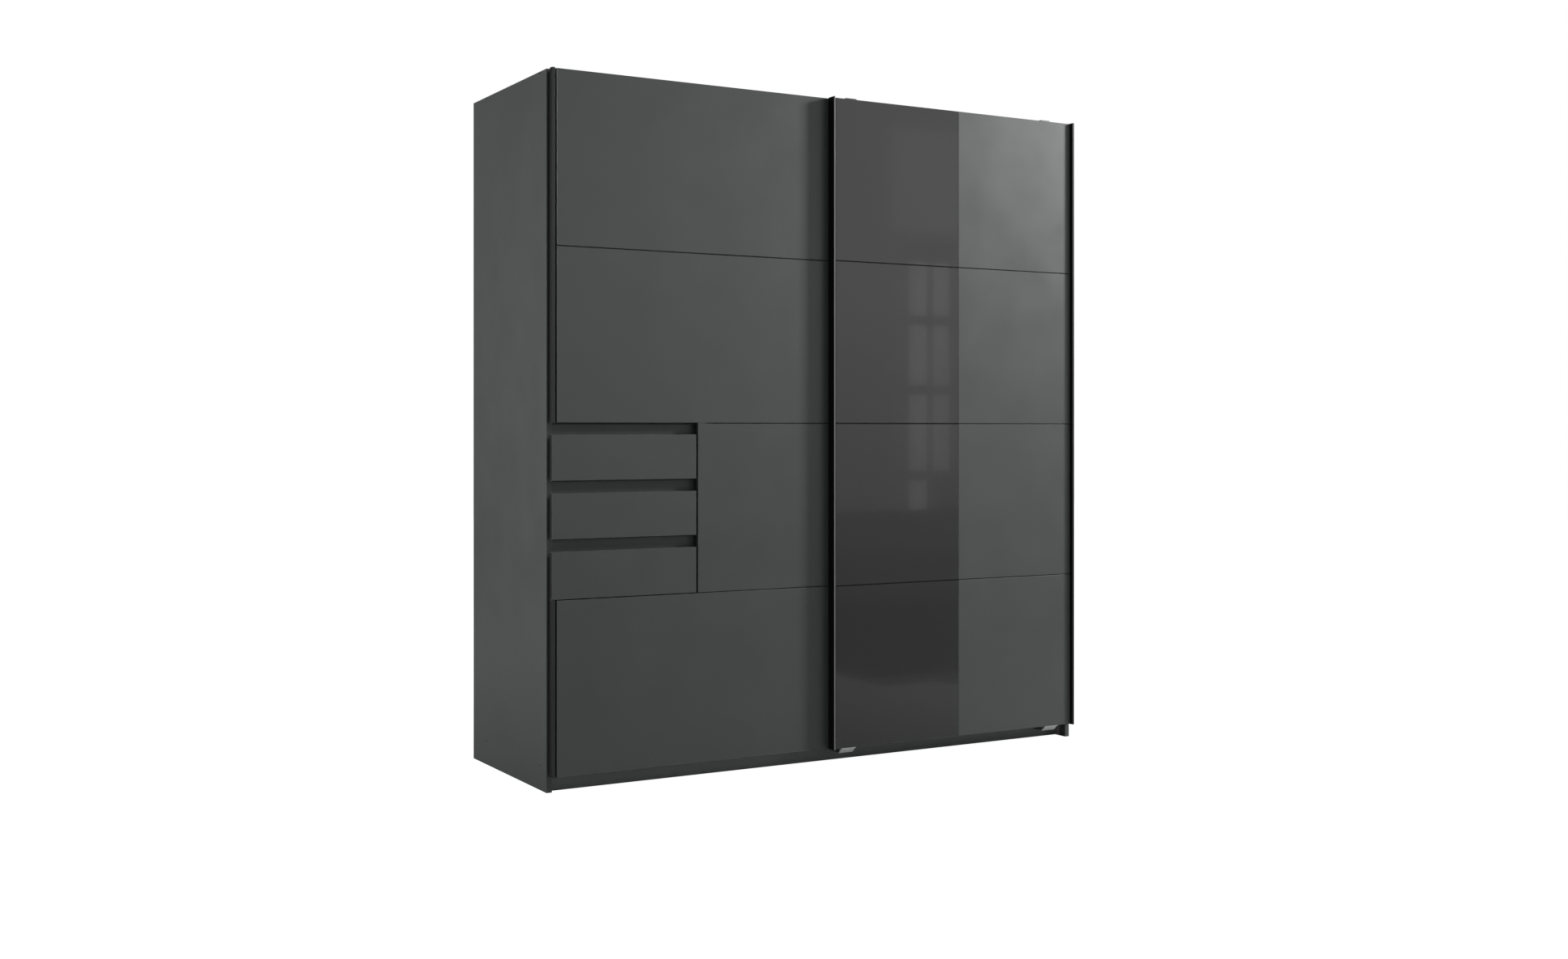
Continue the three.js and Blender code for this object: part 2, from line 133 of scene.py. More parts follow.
class WardrobeStudio(bpy.types.PropertyGroup):
    camera_place: bpy.props.FloatVectorProperty(
        name="Camera", description="Camera position in the model frame",
        subtype="TRANSLATION", unit="LENGTH", size=3, default=(-2.691, -4.660, 0.993))
    camera_turn: bpy.props.FloatProperty(
        name="Camera turn", description="Turn of the level camera about the vertical",
        subtype="ANGLE", default=math.radians(-30))
    lens: bpy.props.FloatProperty(
        name="Lens", description="Focal length on a 36 mm wide sensor",
        default=39.54)
    rise: bpy.props.FloatProperty(
        name="Vertical shift", description="Camera shift that frames the wardrobe",
        default=-0.0317)
    sky: bpy.props.FloatProperty(
        name="Room light", description="Strength of the even light from all sides",
        default=0.22)
    backdrop: bpy.props.FloatProperty(
        name="Backdrop", description="Brightness of the plain backdrop itself",
        default=1.0)
    key_power: bpy.props.FloatProperty(
        name="Key light", description="Power of the high soft light on the right",
        default=347.0, unit="POWER")
    fill_power: bpy.props.FloatProperty(
        name="Fill light", description="Power of the large soft light on the left",
        default=94.0, unit="POWER")
    wall_glow: bpy.props.FloatProperty(
        name="Wall glow", description="Radiance of the pale wall seen in the glass",
        default=1.02)
    window_glow: bpy.props.FloatProperty(
        name="Window glow", description="Radiance of the window seen in the glass",
        default=1.50)


def sizes():
    return bpy.context.scene.wardrobe_sizes


def finishes():
    return bpy.context.scene.wardrobe_finishes


def studio():
    return bpy.context.scene.wardrobe_studio


# ------------------------------------------------------------------ shader building blocks

def put(tree, kind, inputs=None, **settings):
    """Adds a node, sets its own settings, and fills inputs from values or from other sockets."""
    node = tree.nodes.new(kind)
    for key, value in settings.items():
        setattr(node, key, value)
    for key, value in (inputs or {}).items():
        if isinstance(value, bpy.types.NodeSocket):
            tree.links.new(value, node.inputs[key])
        else:
            node.inputs[key].default_value = value
    return node


def calc(tree, operation, a, b=0.0, c=0.0, clamp=False):
    node = put(tree, "ShaderNodeMath", {0: a, 1: b, 2: c}, operation=operation, use_clamp=clamp)
    return node.outputs[0]


def remap(tree, value, low, high, to_low=0.0, to_high=1.0):
    inputs = {"Value": value, "From Min": low, "From Max": high, "To Min": to_low, "To Max": to_high}
    return put(tree, "ShaderNodeMapRange", inputs).outputs["Result"]


def noise(tree, place, scale, detail=2.0, rough=0.5):
    inputs = {"Vector": place, "Scale": scale, "Detail": detail, "Roughness": rough}
    return put(tree, "ShaderNodeTexNoise", inputs).outputs["Fac"]


def object_place(tree):
    return put(tree, "ShaderNodeTexCoord").outputs["Object"]


def weighted(tree, a, share, b):
    """The share of a plus the rest of b."""
    part = calc(tree, "MULTIPLY", a, share)
    return calc(tree, "ADD", part, calc(tree, "MULTIPLY", b, 1 - share))


def stretched(tree, factors):
    """Object coordinates stretched by a factor along each axis."""
    inputs = {"Vector": object_place(tree), "Scale": factors}
    return put(tree, "ShaderNodeMapping", inputs).outputs["Vector"]


def new_group(name, inputs, outputs):
    """An empty shader group with float sockets; returns its tree, inputs node and outputs node."""
    tree = bpy.data.node_groups.new(name, "ShaderNodeTree")
    for label, value in inputs.items():
        socket = tree.interface.new_socket(
            label, in_out="INPUT", socket_type="NodeSocketFloat")
        socket.default_value = value
    for label in outputs:
        tree.interface.new_socket(label, in_out="OUTPUT", socket_type="NodeSocketFloat")
    return tree, put(tree, "NodeGroupInput").outputs, put(tree, "NodeGroupOutput").inputs


def fill(tree, sockets, values):
    for label, value in values.items():
        tree.links.new(value, sockets[label])


def build_pressed_grain():
    """Press plate texture of melamine: fine pearls over a slow mottle."""
    tree, given, out = new_group(
        "Pressed grain", {"Pearls": 900.0, "Mottle": 7.0}, ["Tone", "Gloss", "Height"])
    place = object_place(tree)
    pearls = noise(tree, place, given["Pearls"], 3.0, 0.6)
    mottle = noise(tree, place, given["Mottle"], 4.0, 0.55)
    clouds = noise(tree, place, 0.9, 2.0, 0.5)
    tone = weighted(tree, weighted(tree, mottle, 0.6, clouds), 0.7, pearls)
    fill(tree, out, {"Tone": tone, "Gloss": mottle, "Height": pearls})
    return tree


def build_edge_wear():
    """Mask that is 1 where two faces meet and breaks up along the edge."""
    tree, given, out = new_group(
        "Edge wear", {"Reach": 0.0012, "Breaks": 40.0}, ["Mask"])
    normal = put(tree, "ShaderNodeNewGeometry").outputs["Normal"]
    soft = put(tree, "ShaderNodeBevel", {"Radius": given["Reach"]}, samples=4).outputs["Normal"]
    facing = put(tree, "ShaderNodeVectorMath", {0: normal, 1: soft}, operation="DOT_PRODUCT")
    turn = remap(tree, facing.outputs["Value"], 0.995, 0.86)
    place = object_place(tree)
    breaks = remap(tree, noise(tree, place, given["Breaks"], 4.0, 0.65), 0.42, 0.62)
    fill(tree, out, {"Mask": calc(tree, "MULTIPLY", turn, breaks, clamp=True)})
    return tree


def build_dust():
    """Mask of fine settled dust on faces that look up."""
    tree, given, out = new_group("Settled dust", {"Amount": 0.5, "Specks": 260.0}, ["Mask"])
    normal = put(tree, "ShaderNodeNewGeometry").outputs["Normal"]
    height = put(tree, "ShaderNodeSeparateXYZ", {"Vector": normal}).outputs["Z"]
    upward = remap(tree, height, 0.6, 0.95)
    place = object_place(tree)
    specks = noise(tree, place, given["Specks"], 3.0, 0.7)
    drift = noise(tree, place, 3.0, 3.0, 0.6)
    veil = remap(tree, weighted(tree, specks, 0.5, drift), 0.35, 0.75)
    mask = calc(tree, "MULTIPLY", upward, veil)
    fill(tree, out, {"Mask": calc(tree, "MULTIPLY", mask, given["Amount"], clamp=True)})
    return tree


def build_linen():
    """Printed linen: crossing threads of uneven thickness, the same on every face."""
    tree, given, out = new_group(
        "Linen threads", {"Threads": 620.0, "Slub": 45.0}, ["Tone", "Height"])
    threads = []
    for factors in ((1.0, 1.0, 0.05), (0.05, 1.0, 1.0), (1.0, 0.05, 0.4)):
        place = stretched(tree, factors)
        fine = noise(tree, place, given["Threads"], 1.0, 0.5)
        slub = noise(tree, place, given["Slub"], 3.0, 0.6)
        threads.append(weighted(tree, fine, 0.45, slub))
    mixed = calc(tree, "ADD", calc(tree, "ADD", threads[0], threads[1]), threads[2])
    tone = remap(tree, calc(tree, "DIVIDE", mixed, 3.0), 0.36, 0.64)
    fill(tree, out, {"Tone": tone, "Height": tone})
    return tree


def build_brushed():
    """Long fine lines along X, as left by rolling, drawing or extruding."""
    tree, given, out = new_group("Drawn lines", {"Lines": 1500.0}, ["Tone", "Height"])
    lines = noise(tree, stretched(tree, (0.02, 1.0, 1.0)), given["Lines"], 2.0, 0.6)
    stains = noise(tree, stretched(tree, (1.0, 1.0, 1.0)), 18.0, 4.0, 0.6)
    fill(tree, out, {"Tone": weighted(tree, lines, 0.65, stains), "Height": lines})
    return tree


def build_orange_peel():
    """Slight waviness of a sprayed or moulded skin."""
    tree, given, out = new_group("Orange peel", {"Grain": 700.0}, ["Tone", "Height"])
    place = object_place(tree)
    grain = noise(tree, place, given["Grain"], 2.0, 0.5)
    drift = noise(tree, place, 12.0, 3.0, 0.5)
    fill(tree, out, {"Tone": weighted(tree, grain, 0.5, drift), "Height": grain})
    return tree


def build_chips():
    """Cut edge of chipboard or fibreboard: flakes of wood with dark gaps."""
    tree, given, out = new_group("Wood chips", {"Flakes": 420.0}, ["Tone", "Height"])
    place = stretched(tree, (1.0, 1.0, 0.45))
    cells = put(tree, "ShaderNodeTexVoronoi", {"Vector": place, "Scale": given["Flakes"]})
    shade = put(tree, "ShaderNodeSeparateColor", {"Color": cells.outputs["Color"]}).outputs["Red"]
    fibre = noise(tree, place, calc(tree, "MULTIPLY", given["Flakes"], 2.4), 3.0, 0.7)
    fill(tree, out, {"Tone": weighted(tree, shade, 0.6, fibre), "Height": fibre})
    return tree


GROUPS = {}


def build_groups():
    GROUPS.update(
        grain=build_pressed_grain(), wear=build_edge_wear(), dust=build_dust(),
        linen=build_linen(), lines=build_brushed(), peel=build_orange_peel(),
        chips=build_chips(),
    )


def effect(tree, name, **inputs):
    node = put(tree, "ShaderNodeGroup", node_tree=GROUPS[name])
    for label, value in inputs.items():
        node.inputs[label].default_value = value
    return node.outputs


# ------------------------------------------------------------------ materials

MATERIALS = {}


def tint(tree, tone, color, swing):
    """The colour made darker and lighter by the tone, by at most the given share."""
    low = [c * (1 - swing) for c in color] + [1]
    high = [min(1.0, c * (1 + swing)) for c in color] + [1]
    return blended(tree, tone, low, high)


def blended(tree, factor, low, high):
    return put(tree, "ShaderNodeMix", {0: factor, 6: low, 7: high}, data_type="RGBA").outputs[2]


def shaded(color, factor):
    return tuple(c * factor for c in color)


def start_material(name, **constants):
    """A new material; constants are set on its Principled BSDF's own sockets."""
    material = bpy.data.materials.new(name)
    material.use_nodes = True
    shader = material.node_tree.nodes["Principled BSDF"]
    for label, value in constants.items():
        shader.inputs[label.replace("_", " ")].default_value = value
    MATERIALS[name] = material
    return material.node_tree, shader


def connect(tree, shader, color=None, roughness=None, height=None, depth=0.1 * MM, strength=1.0):
    if color is not None:
        tree.links.new(color, shader.inputs["Base Color"])
    if roughness is not None:
        tree.links.new(roughness, shader.inputs["Roughness"])
    if height is not None:
        inputs = {"Height": height, "Distance": depth, "Strength": strength}
        bump = put(tree, "ShaderNodeBump", inputs)
        tree.links.new(bump.outputs["Normal"], shader.inputs["Normal"])


def melamine(name, color, gloss, pearls, wear_color):
    """Melamine board face: pressed grain, rubbed edges and a little dust."""
    tree, shader = start_material(name, IOR=1.48)
    grain = effect(tree, "grain", Pearls=pearls)
    base = tint(tree, grain["Tone"], color, 0.14)
    worn = effect(tree, "wear")["Mask"]
    base = blended(tree, calc(tree, "MULTIPLY", worn, 0.35), base, [*wear_color, 1])
    dust = effect(tree, "dust", Amount=0.22)["Mask"]
    base = blended(tree, dust, base, [0.42, 0.41, 0.39, 1])
    rough = remap(tree, grain["Gloss"], 0.2, 0.8, gloss - 0.05, gloss + 0.06)
    rough = calc(tree, "ADD", rough, calc(tree, "MULTIPLY", dust, 0.5), clamp=True)
    connect(tree, shader, base, rough, grain["Height"], 0.06 * MM, 0.55)


def linen_melamine(name, color):
    tree, shader = start_material(name, IOR=1.48)
    weave = effect(tree, "linen")
    base = tint(tree, weave["Tone"], color, 0.16)
    dust = effect(tree, "dust", Amount=0.12)["Mask"]
    base = blended(tree, dust, base, [0.5, 0.49, 0.47, 1])
    rough = remap(tree, weave["Tone"], 0.0, 1.0, 0.62, 0.5)
    connect(tree, shader, base, rough, weave["Height"], 0.08 * MM, 0.6)


def raw_wood(name, color, flakes):
    tree, shader = start_material(name)
    chips = effect(tree, "chips", Flakes=flakes)
    base = tint(tree, chips["Tone"], color, 0.45)
    rough = remap(tree, chips["Tone"], 0.0, 1.0, 0.78, 0.92)
    connect(tree, shader, base, rough, chips["Height"], 0.3 * MM, 0.8)


def coated_metal(name, color, gloss, grain=700.0, coat=0.0, specular=0.5):
    """Powder coat or moulded plastic with rubbed edges."""
    tree, shader = start_material(
        name, Coat_Weight=coat, Coat_Roughness=0.18, Specular_IOR_Level=specular)
    peel = effect(tree, "peel", Grain=grain)
    base = tint(tree, peel["Tone"], color, 0.2)
    worn = effect(tree, "wear", Reach=0.0009, Breaks=55.0)["Mask"]
    lighter = [min(1.0, c * 2.6 + 0.03) for c in color]
    base = blended(tree, calc(tree, "MULTIPLY", worn, 0.4), base, [*lighter, 1])
    dust = effect(tree, "dust", Amount=0.18)["Mask"]
    base = blended(tree, dust, base, [0.4, 0.39, 0.37, 1])
    rough = remap(tree, peel["Tone"], 0.25, 0.75, gloss - 0.06, gloss + 0.07)
    connect(tree, shader, base, rough, peel["Height"], 0.05 * MM, 0.5)


def bare_metal(name, color, gloss, lines=1500.0):
    tree, shader = start_material(name, Metallic=1.0)
    drawn = effect(tree, "lines", Lines=lines)
    base = tint(tree, drawn["Tone"], color, 0.22)
    rough = remap(tree, drawn["Tone"], 0.25, 0.75, gloss - 0.07, gloss + 0.12)
    connect(tree, shader, base, rough, drawn["Height"], 0.03 * MM, 0.5)


def zinc_plate(name, color):
    """Zinc-plated sheet: drawn lines under soft patches of passivation."""
    tree, shader = start_material(name, Metallic=1.0)
    drawn = effect(tree, "lines", Lines=900.0)
    place = object_place(tree)
    cells = put(tree, "ShaderNodeTexVoronoi", {"Vector": place, "Scale": 160.0})
    bloom = put(tree, "ShaderNodeSeparateColor", {"Color": cells.outputs["Color"]}).outputs["Green"]
    mixed = weighted(tree, bloom, 0.5, drawn["Tone"])
    base = tint(tree, mixed, color, 0.18)
    rough = remap(tree, mixed, 0.1, 0.9, 0.34, 0.55)
    connect(tree, shader, base, rough, drawn["Height"], 0.03 * MM, 0.4)


def lacquered_glass(name, color):
    """Clear glossy skin over lacquer; faint roller waves and a few wiped marks."""
    tree, shader = start_material(
        name, IOR=1.52, Coat_Weight=0.35, Coat_Roughness=0.02, Coat_IOR=1.5)
    place = object_place(tree)
    waves = noise(tree, stretched(tree, (1.0, 1.0, 0.35)), 5.0, 1.0, 0.4)
    smears = noise(tree, stretched(tree, (1.0, 1.0, 0.3)), 9.0, 5.0, 0.6)
    flakes = noise(tree, place, 1400.0, 1.0, 0.5)
    base = tint(tree, flakes, color, 0.25)
    rough = remap(tree, smears, 0.3, 0.75, 0.06, 0.11)
    connect(tree, shader, base, rough, waves, 0.25 * MM, 0.35)


# Light grey, streaky rim of a glass pane: the lightness is a painted highlight.
def glass_rim_painted_highlight(name):
    tree, shader = start_material(name, IOR=1.52, Coat_Weight=0.6, Coat_Roughness=0.08)
    place = object_place(tree)
    ground = noise(tree, stretched(tree, (1.0, 1.0, 0.1)), 600.0, 3.0, 0.6)
    base = tint(tree, ground, (0.17, 0.185, 0.18), 0.25)
    rough = remap(tree, noise(tree, place, 60.0, 3.0), 0.3, 0.7, 0.14, 0.3)
    connect(tree, shader, base, rough, ground, 0.04 * MM, 0.5)


def floor_finish(name):
    """Pale paper floor that is exposed to white where nothing shades it."""
    tree, shader = start_material(name, IOR=1.3)
    place = object_place(tree)
    base = tint(tree, noise(tree, place, 1.5, 3.0), (0.50, 0.50, 0.50), 0.012)
    rough = remap(tree, noise(tree, place, 40.0, 3.0), 0.3, 0.7, 0.72, 0.8)
    connect(tree, shader, base, rough)
    seen = put(tree, "ShaderNodeLightPath").outputs["Is Camera Ray"]
    shader.inputs["Emission Color"].default_value = (1.0, 1.0, 1.0, 1.0)
    tree.links.new(calc(tree, "MULTIPLY", seen, 0.97), shader.inputs["Emission Strength"])


def build_materials():
    look = finishes()
    graphite = tuple(look.graphite)
    lining = tuple(look.lining)
    pale = (0.25, 0.25, 0.24)
    melamine("graphite_face", graphite, 0.37, 900.0, pale)
    melamine("graphite_band", shaded(graphite, 0.92), 0.42, 1300.0, pale)
    # Graphite made 2.7 times lighter for the plinth: painted light, as from the floor in front of it.
    melamine("plinth_painted_light", shaded(graphite, 2.7), 0.5, 900.0, pale)
    melamine("recess_face", graphite, 0.5, 900.0, pale)
    linen_melamine("linen_face", lining)
    melamine("linen_band", shaded(lining, 1.04), 0.45, 1200.0, (0.5, 0.5, 0.48))
    raw_wood("chipboard_edge", (0.36, 0.27, 0.18), 420.0)
    raw_wood("fibreboard", (0.25, 0.165, 0.10), 900.0)
    melamine("drawer_foil", (0.36, 0.355, 0.34), 0.4, 1500.0, (0.55, 0.55, 0.53))
    coated_metal("profile_coat", tuple(look.profile), 0.4, specular=0.3)
    # Near-black copy of the profile coat for faces that look along X and for the side faces of the
    # drawer fronts: painted shade.
    coated_metal("profile_flank_painted_shade", (0.006, 0.006, 0.006), 0.6, specular=0.15)
    # Lighter coat for the front face of the front door's left fin: painted highlight.
    coated_metal("fin_front_painted_highlight", (0.15, 0.15, 0.148), 0.34)
    coated_metal("dark_plastic", (0.022, 0.023, 0.024), 0.45, 500.0)
    coated_metal("graphite_cap", shaded(graphite, 0.75), 0.4, 900.0)
    coated_metal("white_enamel", (0.66, 0.66, 0.64), 0.3, 500.0, coat=0.4)
    coated_metal("nylon", (0.62, 0.61, 0.57), 0.42, 900.0)
    # Black of the door stops' rubber; the strips in the grip recesses and the door gaps use it as
    # painted shade.
    coated_metal("rubber_and_painted_shade", (0.016, 0.016, 0.016), 0.72, 300.0)
    bare_metal("aluminium", (0.62, 0.63, 0.64), 0.34)
    bare_metal("plated_tube", (0.60, 0.61, 0.62), 0.16, 1800.0)
    bare_metal("screw_steel", (0.50, 0.50, 0.49), 0.28)
    zinc_plate("zinc", tuple(look.zinc))
    zinc_plate("dark_zinc", shaded(look.zinc, 0.3))
    lacquered_glass("lacquered_glass", tuple(look.glass))
    glass_rim_painted_highlight("glass_rim_painted_highlight")
    floor_finish("studio_floor")


# ------------------------------------------------------------------ mesh building blocks

def side_of(normal):
    """Name of the axis direction that a normal points along most, such as '-y'."""
    axis = max("xyz", key=lambda a: abs(normal[AXES[a]]))
    return ("+" if normal[AXES[axis]] > 0 else "-") + axis


def round_edges(bm, faces, radius, segments=2, sharper_than=math.radians(25)):
    """Rounds the sharp edges between the given faces."""
    edges = [
        e for e in {e for f in faces for e in f.edges}
        if len(e.link_faces) == 2 and e.calc_face_angle(0.0) > sharper_than
    ]
    if edges and radius > 0:
        bmesh.ops.bevel(
            bm, geom=edges, offset=radius, offset_type="OFFSET", segments=segments,
            profile=0.5, affect="EDGES", clamp_overlap=True)


def add_box(bm, low, high, radius, paint=None, index=0, segments=2):
    """A rounded box; paint maps a side name to a material index, other sides get index."""
    low, high = Vector(low), Vector(high)
    place = Matrix.Translation((low + high) / 2) @ Matrix.Diagonal((*(high - low), 1))
    made = bmesh.ops.create_cube(bm, size=1, matrix=place)
    faces = list({f for v in made["verts"] for f in v.link_faces})
    for face in faces:
        face.normal_update()
        face.material_index = (paint or {}).get(side_of(face.normal), index)
    round_edges(bm, faces, radius, segments)


def turn_to(axis):
    """Matrix that turns the Z axis onto the named axis direction."""
    direction = Vector((0, 0, 0))
    direction[AXES[axis[1]]] = 1 if axis[0] == "+" else -1
    return direction.to_track_quat("Z", "Y").to_matrix().to_4x4()


def mm(*points):
    """Points of an outline given in millimetres."""
    return [(a * MM, b * MM) for a, b in points]


def circle(radius, height, steps):
    """Corners of a circle about the Z axis."""
    angles = [2 * math.pi * i / steps for i in range(steps)]
    return [Vector((radius * math.cos(a), radius * math.sin(a), height)) for a in angles]


def add_lathe(bm, profile, place, axis="+z", steps=32, index=0):
    """Turns a closed outline of (radius, height) points about an axis through place."""
    matrix = Matrix.Translation(Vector(place)) @ turn_to(axis)
    rings = []
    for radius, height in profile:
        points = circle(radius, height, steps if radius > WELD else 1)
        rings.append([bm.verts.new(matrix @ point) for point in points])
    closed = profile[0][0] > WELD
    pairs = list(zip(rings, rings[1:])) + ([(rings[-1], rings[0])] if closed else [])
    faces = []
    for a, b in pairs:
        for i in range(steps):
            j = (i + 1) % steps
            corners = [a[i % len(a)], a[j % len(a)], b[j % len(b)], b[i % len(b)]]
            corners = list(dict.fromkeys(corners))
            if len(corners) > 2:
                faces.append(bm.faces.new(corners))
    for face in faces:
        face.material_index = index
        face.smooth = True


def add_prism(bm, outline, axis, start, end, radius, index=0, segments=2):
    """A closed outline drawn out along one axis.

    The outline's points are (Y, Z) for x, (X, Z) for y and (X, Y) for z.
    """
    def point(a, b, w):
        return {"x": (w, a, b), "y": (a, w, b), "z": (a, b, w)}[axis]

    bottom = [bm.verts.new(point(a, b, start)) for a, b in outline]
    top = [bm.verts.new(point(a, b, end)) for a, b in outline]
    count = len(outline)
    faces = [bm.faces.new(bottom), bm.faces.new(top)]
    for i in range(count):
        j = (i + 1) % count
        faces.append(bm.faces.new((bottom[i], bottom[j], top[j], top[i])))
    bmesh.ops.recalc_face_normals(bm, faces=faces)
    for face in faces:
        face.material_index = index
    round_edges(bm, faces, radius, segments)


def bent_strip(path, thickness, bend):
    """Outline of sheet metal bent along a path; the sheet lies left of it, with round bends."""
    points = [Vector(p) for p in path]
    near, far = [], []
    for i, point in enumerate(points):
        before = (point - points[i - 1]).normalized() if i else None
        after = (points[i + 1] - point).normalized() if i < len(points) - 1 else None
        if before is None or after is None:
            along = after or before
            left = Vector((-along.y, along.x))
            near.append(point)
            far.append(point + left * thickness)
            continue
        turn = before.angle_signed(after)
        tangent = abs(math.tan(turn / 2))
        inside_left = turn < 0  # angle_signed counts clockwise turns as positive
        near_radius = bend + thickness if inside_left else bend
        reach = near_radius * tangent
        left = Vector((-before.y, before.x))
        centre = point - before * reach + left * (near_radius if inside_left else -near_radius)
        steps = 5
        for k in range(steps + 1):
            spin = Matrix.Rotation(-turn * k / steps, 2)
            arm = spin @ ((point - before * reach) - centre)
            near.append(centre + arm)
            change = -thickness if inside_left else thickness
            far.append(centre + arm.normalized() * (near_radius + change))
    return [tuple(p) for p in near + far[::-1]]


def add_screws(bm, places, axis, radius, index=0, height=None):
    """Pan head screws with a cross recess, standing on the given points."""
    for place in places:
        add_screw(bm, place, axis, radius, index, height or radius * 0.55)


def add_screw(bm, place, axis, radius, index, height):
    matrix = Matrix.Translation(Vector(place)) @ turn_to(axis)
    steps = 24
    arm, slot, depth = radius * 0.52, radius * 0.13, height * 0.6

    def ring(r, z):
        return [bm.verts.new(matrix @ point) for point in circle(r, z, steps)]

    def cross(z, taper):
        a, s = arm * taper, slot * taper
        corners = [(a, -s), (a, s), (s, s), (s, a), (-s, a), (-s, s),
                   (-a, s), (-a, -s), (-s, -s), (-s, -a), (s, -a), (s, -s)]
        return [bm.verts.new(matrix @ Vector((x, y, z))) for x, y in corners]

    def wall(a, b):
        n = len(a)
        return [bm.faces.new((a[i], a[(i + 1) % n], b[(i + 1) % n], b[i])) for i in range(n)]

    foot, belly, crown = ring(radius, 0), ring(radius, height * 0.45), ring(radius * 0.72, height)
    mouth, floor = cross(height, 1.0), cross(height - depth, 0.75)
    faces = [bm.faces.new(foot[::-1])] + wall(foot, belly) + wall(belly, crown)
    loops = [
        bm.edges.get((loop[i], loop[(i + 1) % len(loop)])) or
        bm.edges.new((loop[i], loop[(i + 1) % len(loop)]))
        for loop in (crown, mouth) for i in range(len(loop))
    ]
    filled = bmesh.ops.triangle_fill(bm, edges=loops, use_beauty=True)
    faces += [g for g in filled["geom"] if isinstance(g, bmesh.types.BMFace)]
    faces += wall(mouth, floor) + [bm.faces.new(floor)]
    bmesh.ops.recalc_face_normals(bm, faces=faces)
    for face in faces:
        face.material_index = index


def finish_piece(bm, name, materials, body, stands_for=(), smooth=False):
    """Turns the mesh into a piece that rides on a body and may stand for frame nodes."""
    mesh = bpy.data.meshes.new(name)
    bm.to_mesh(mesh)
    bm.free()
    for material in materials:
        mesh.materials.append(MATERIALS[material])
    piece = bpy.data.objects.new(name, mesh)
    bpy.context.scene.collection.objects.link(piece)
    if smooth:
        mesh.shade_smooth()
        mesh.set_sharp_from_angle(angle=SHARP)
        weighting = piece.modifiers.new("face_weight", "WEIGHTED_NORMAL")
        weighting.keep_sharp = True
    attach(piece, body)
    if stands_for:
        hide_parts(*stands_for)
    return piece


def body_of_node(node):
    for body, members in frame["record"]["behaviour"]["bodies"].items():
        if node in members:
            return body
    raise RuntimeError(f"no body holds {node}")


def replace_node(bm, node, suffix, materials, smooth=True):
    """Finishes the mesh as the piece that stands for one node, on its body."""
    return finish_piece(bm, f"{node}_{suffix}", materials, body_of_node(node),
                        [node], smooth)


def solid_of_node(node):
    """The node's own solid with its flat faces whole again."""
    bm = bmesh.new()
    bm.from_mesh(frame["nodes"][node].data)
    bmesh.ops.remove_doubles(bm, verts=bm.verts, dist=WELD)
    bmesh.ops.dissolve_limit(bm, angle_limit=FLAT, verts=bm.verts, edges=bm.edges)
    return bm


def refine(node, material, radius, segments=2, extra=()):
    """The node's own solid with rounded edges, in a real finish.

    The first extra material, if there is one, goes on the faces that look along X; it is a darker
    coat, painted shade on those faces.
    """
    bm = solid_of_node(node)
    bmesh.ops.recalc_face_normals(bm, faces=bm.faces)
    for face in bm.faces:
        flank = extra and side_of(face.normal)[1] == "x"
        face.material_index = 1 if flank else 0
        face.smooth = False
    round_edges(bm, bm.faces[:], radius, segments)
    return replace_node(bm, node, "rounded", [material, *extra])


def banded_board(node, bands, faces="graphite_face", band="graphite_band", paint=None,
                 raw="chipboard_edge", flank=None):
    """A board glued up from a core and bands on the named sides.

    paint maps a side of the core to a material name; unbanded edges show raw chipboard.
    flank names the darker material on the outer faces of the bands at the left and right end, painted
    shade on those faces.
    """
    low, high = (Vector(v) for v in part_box(node))
    thin = min(range(3), key=lambda i: (high - low)[i])
    names = [faces, band, raw]
    sides = {}
    for side in ("-x", "+x", "-y", "+y", "-z", "+z"):
        wanted = faces if AXES[side[1]] == thin else raw
        wanted = (paint or {}).get(side, wanted)
        if wanted not in names:
            names.append(wanted)
        sides[side] = names.index(wanted)
    if flank:
        names.append(flank)
    bm = bmesh.new()
    thickness = sizes().edge_band
    for side in bands:
        axis = AXES[side[1]]
        slab_low, slab_high = low.copy(), high.copy()
        if side[0] == "-":
            slab_high[axis] = low[axis] + thickness
            low[axis] += thickness
        else:
            slab_low[axis] = high[axis] - thickness
            high[axis] -= thickness
        outer = {side: len(names) - 1} if flank and axis == 0 else None
        add_box(bm, slab_low, slab_high, sizes().band_round * 0.6, outer, index=1)
    add_box(bm, low, high, sizes().board_round, sides)
    return replace_node(bm, node, "banded", names, smooth=False)


def middle_of(node):
    low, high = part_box(node)
    return (low + high) / 2


def even(start, end, count):
    """Count places from start to end, both ends included."""
    return [start + (end - start) * i / (count - 1) for i in range(count)]


# ------------------------------------------------------------------ pieces

def make_sides():
    """Side panels: graphite outside, linen inside, banded in front and on top."""
    banded_board("left_side_panel", ["-y", "+z"], paint={"+x": "linen_face"})
    banded_board("right_side_panel", ["-y", "+z"], paint={"-x": "linen_face"})
    banded_board("right_filler_strip", ["-y", "+z", "-z"])


def make_horizontals():
    banded_board("top_panel", ["-y"], faces="linen_face", paint={"+z": "graphite_face"})
    banded_board("bottom_panel", ["-y"], faces="linen_face")
    # The plinth's face is the lighter graphite: painted light.
    banded_board("plinth", ["-z"], faces="plinth_painted_light")
    for node in ("shelf_left", "shelf_right"):
        banded_board(node, ["-y"], faces="linen_face", band="linen_band")
    for node in ("unit_bottom_shelf", "unit_top_shelf"):
        banded_board(node, ["-y"], faces="linen_face")


def make_uprights():
    """Partition and drawer unit divider keep their notched outline and get a front band."""
    for node in ("centre_partition", "unit_divider"):
        piece = refine(node, "linen_face", sizes().board_round, 1)
        piece.data.materials.append(MATERIALS["graphite_band"])
        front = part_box(node)[0].y
        for face in piece.data.polygons:
            if face.center.y < front + 0.5 * MM:
                face.material_index = 1
    for number in DRAWERS:
        banded_board(f"grip_rail_{number}", ["-z", "+z"], faces="recess_face", band="recess_face")


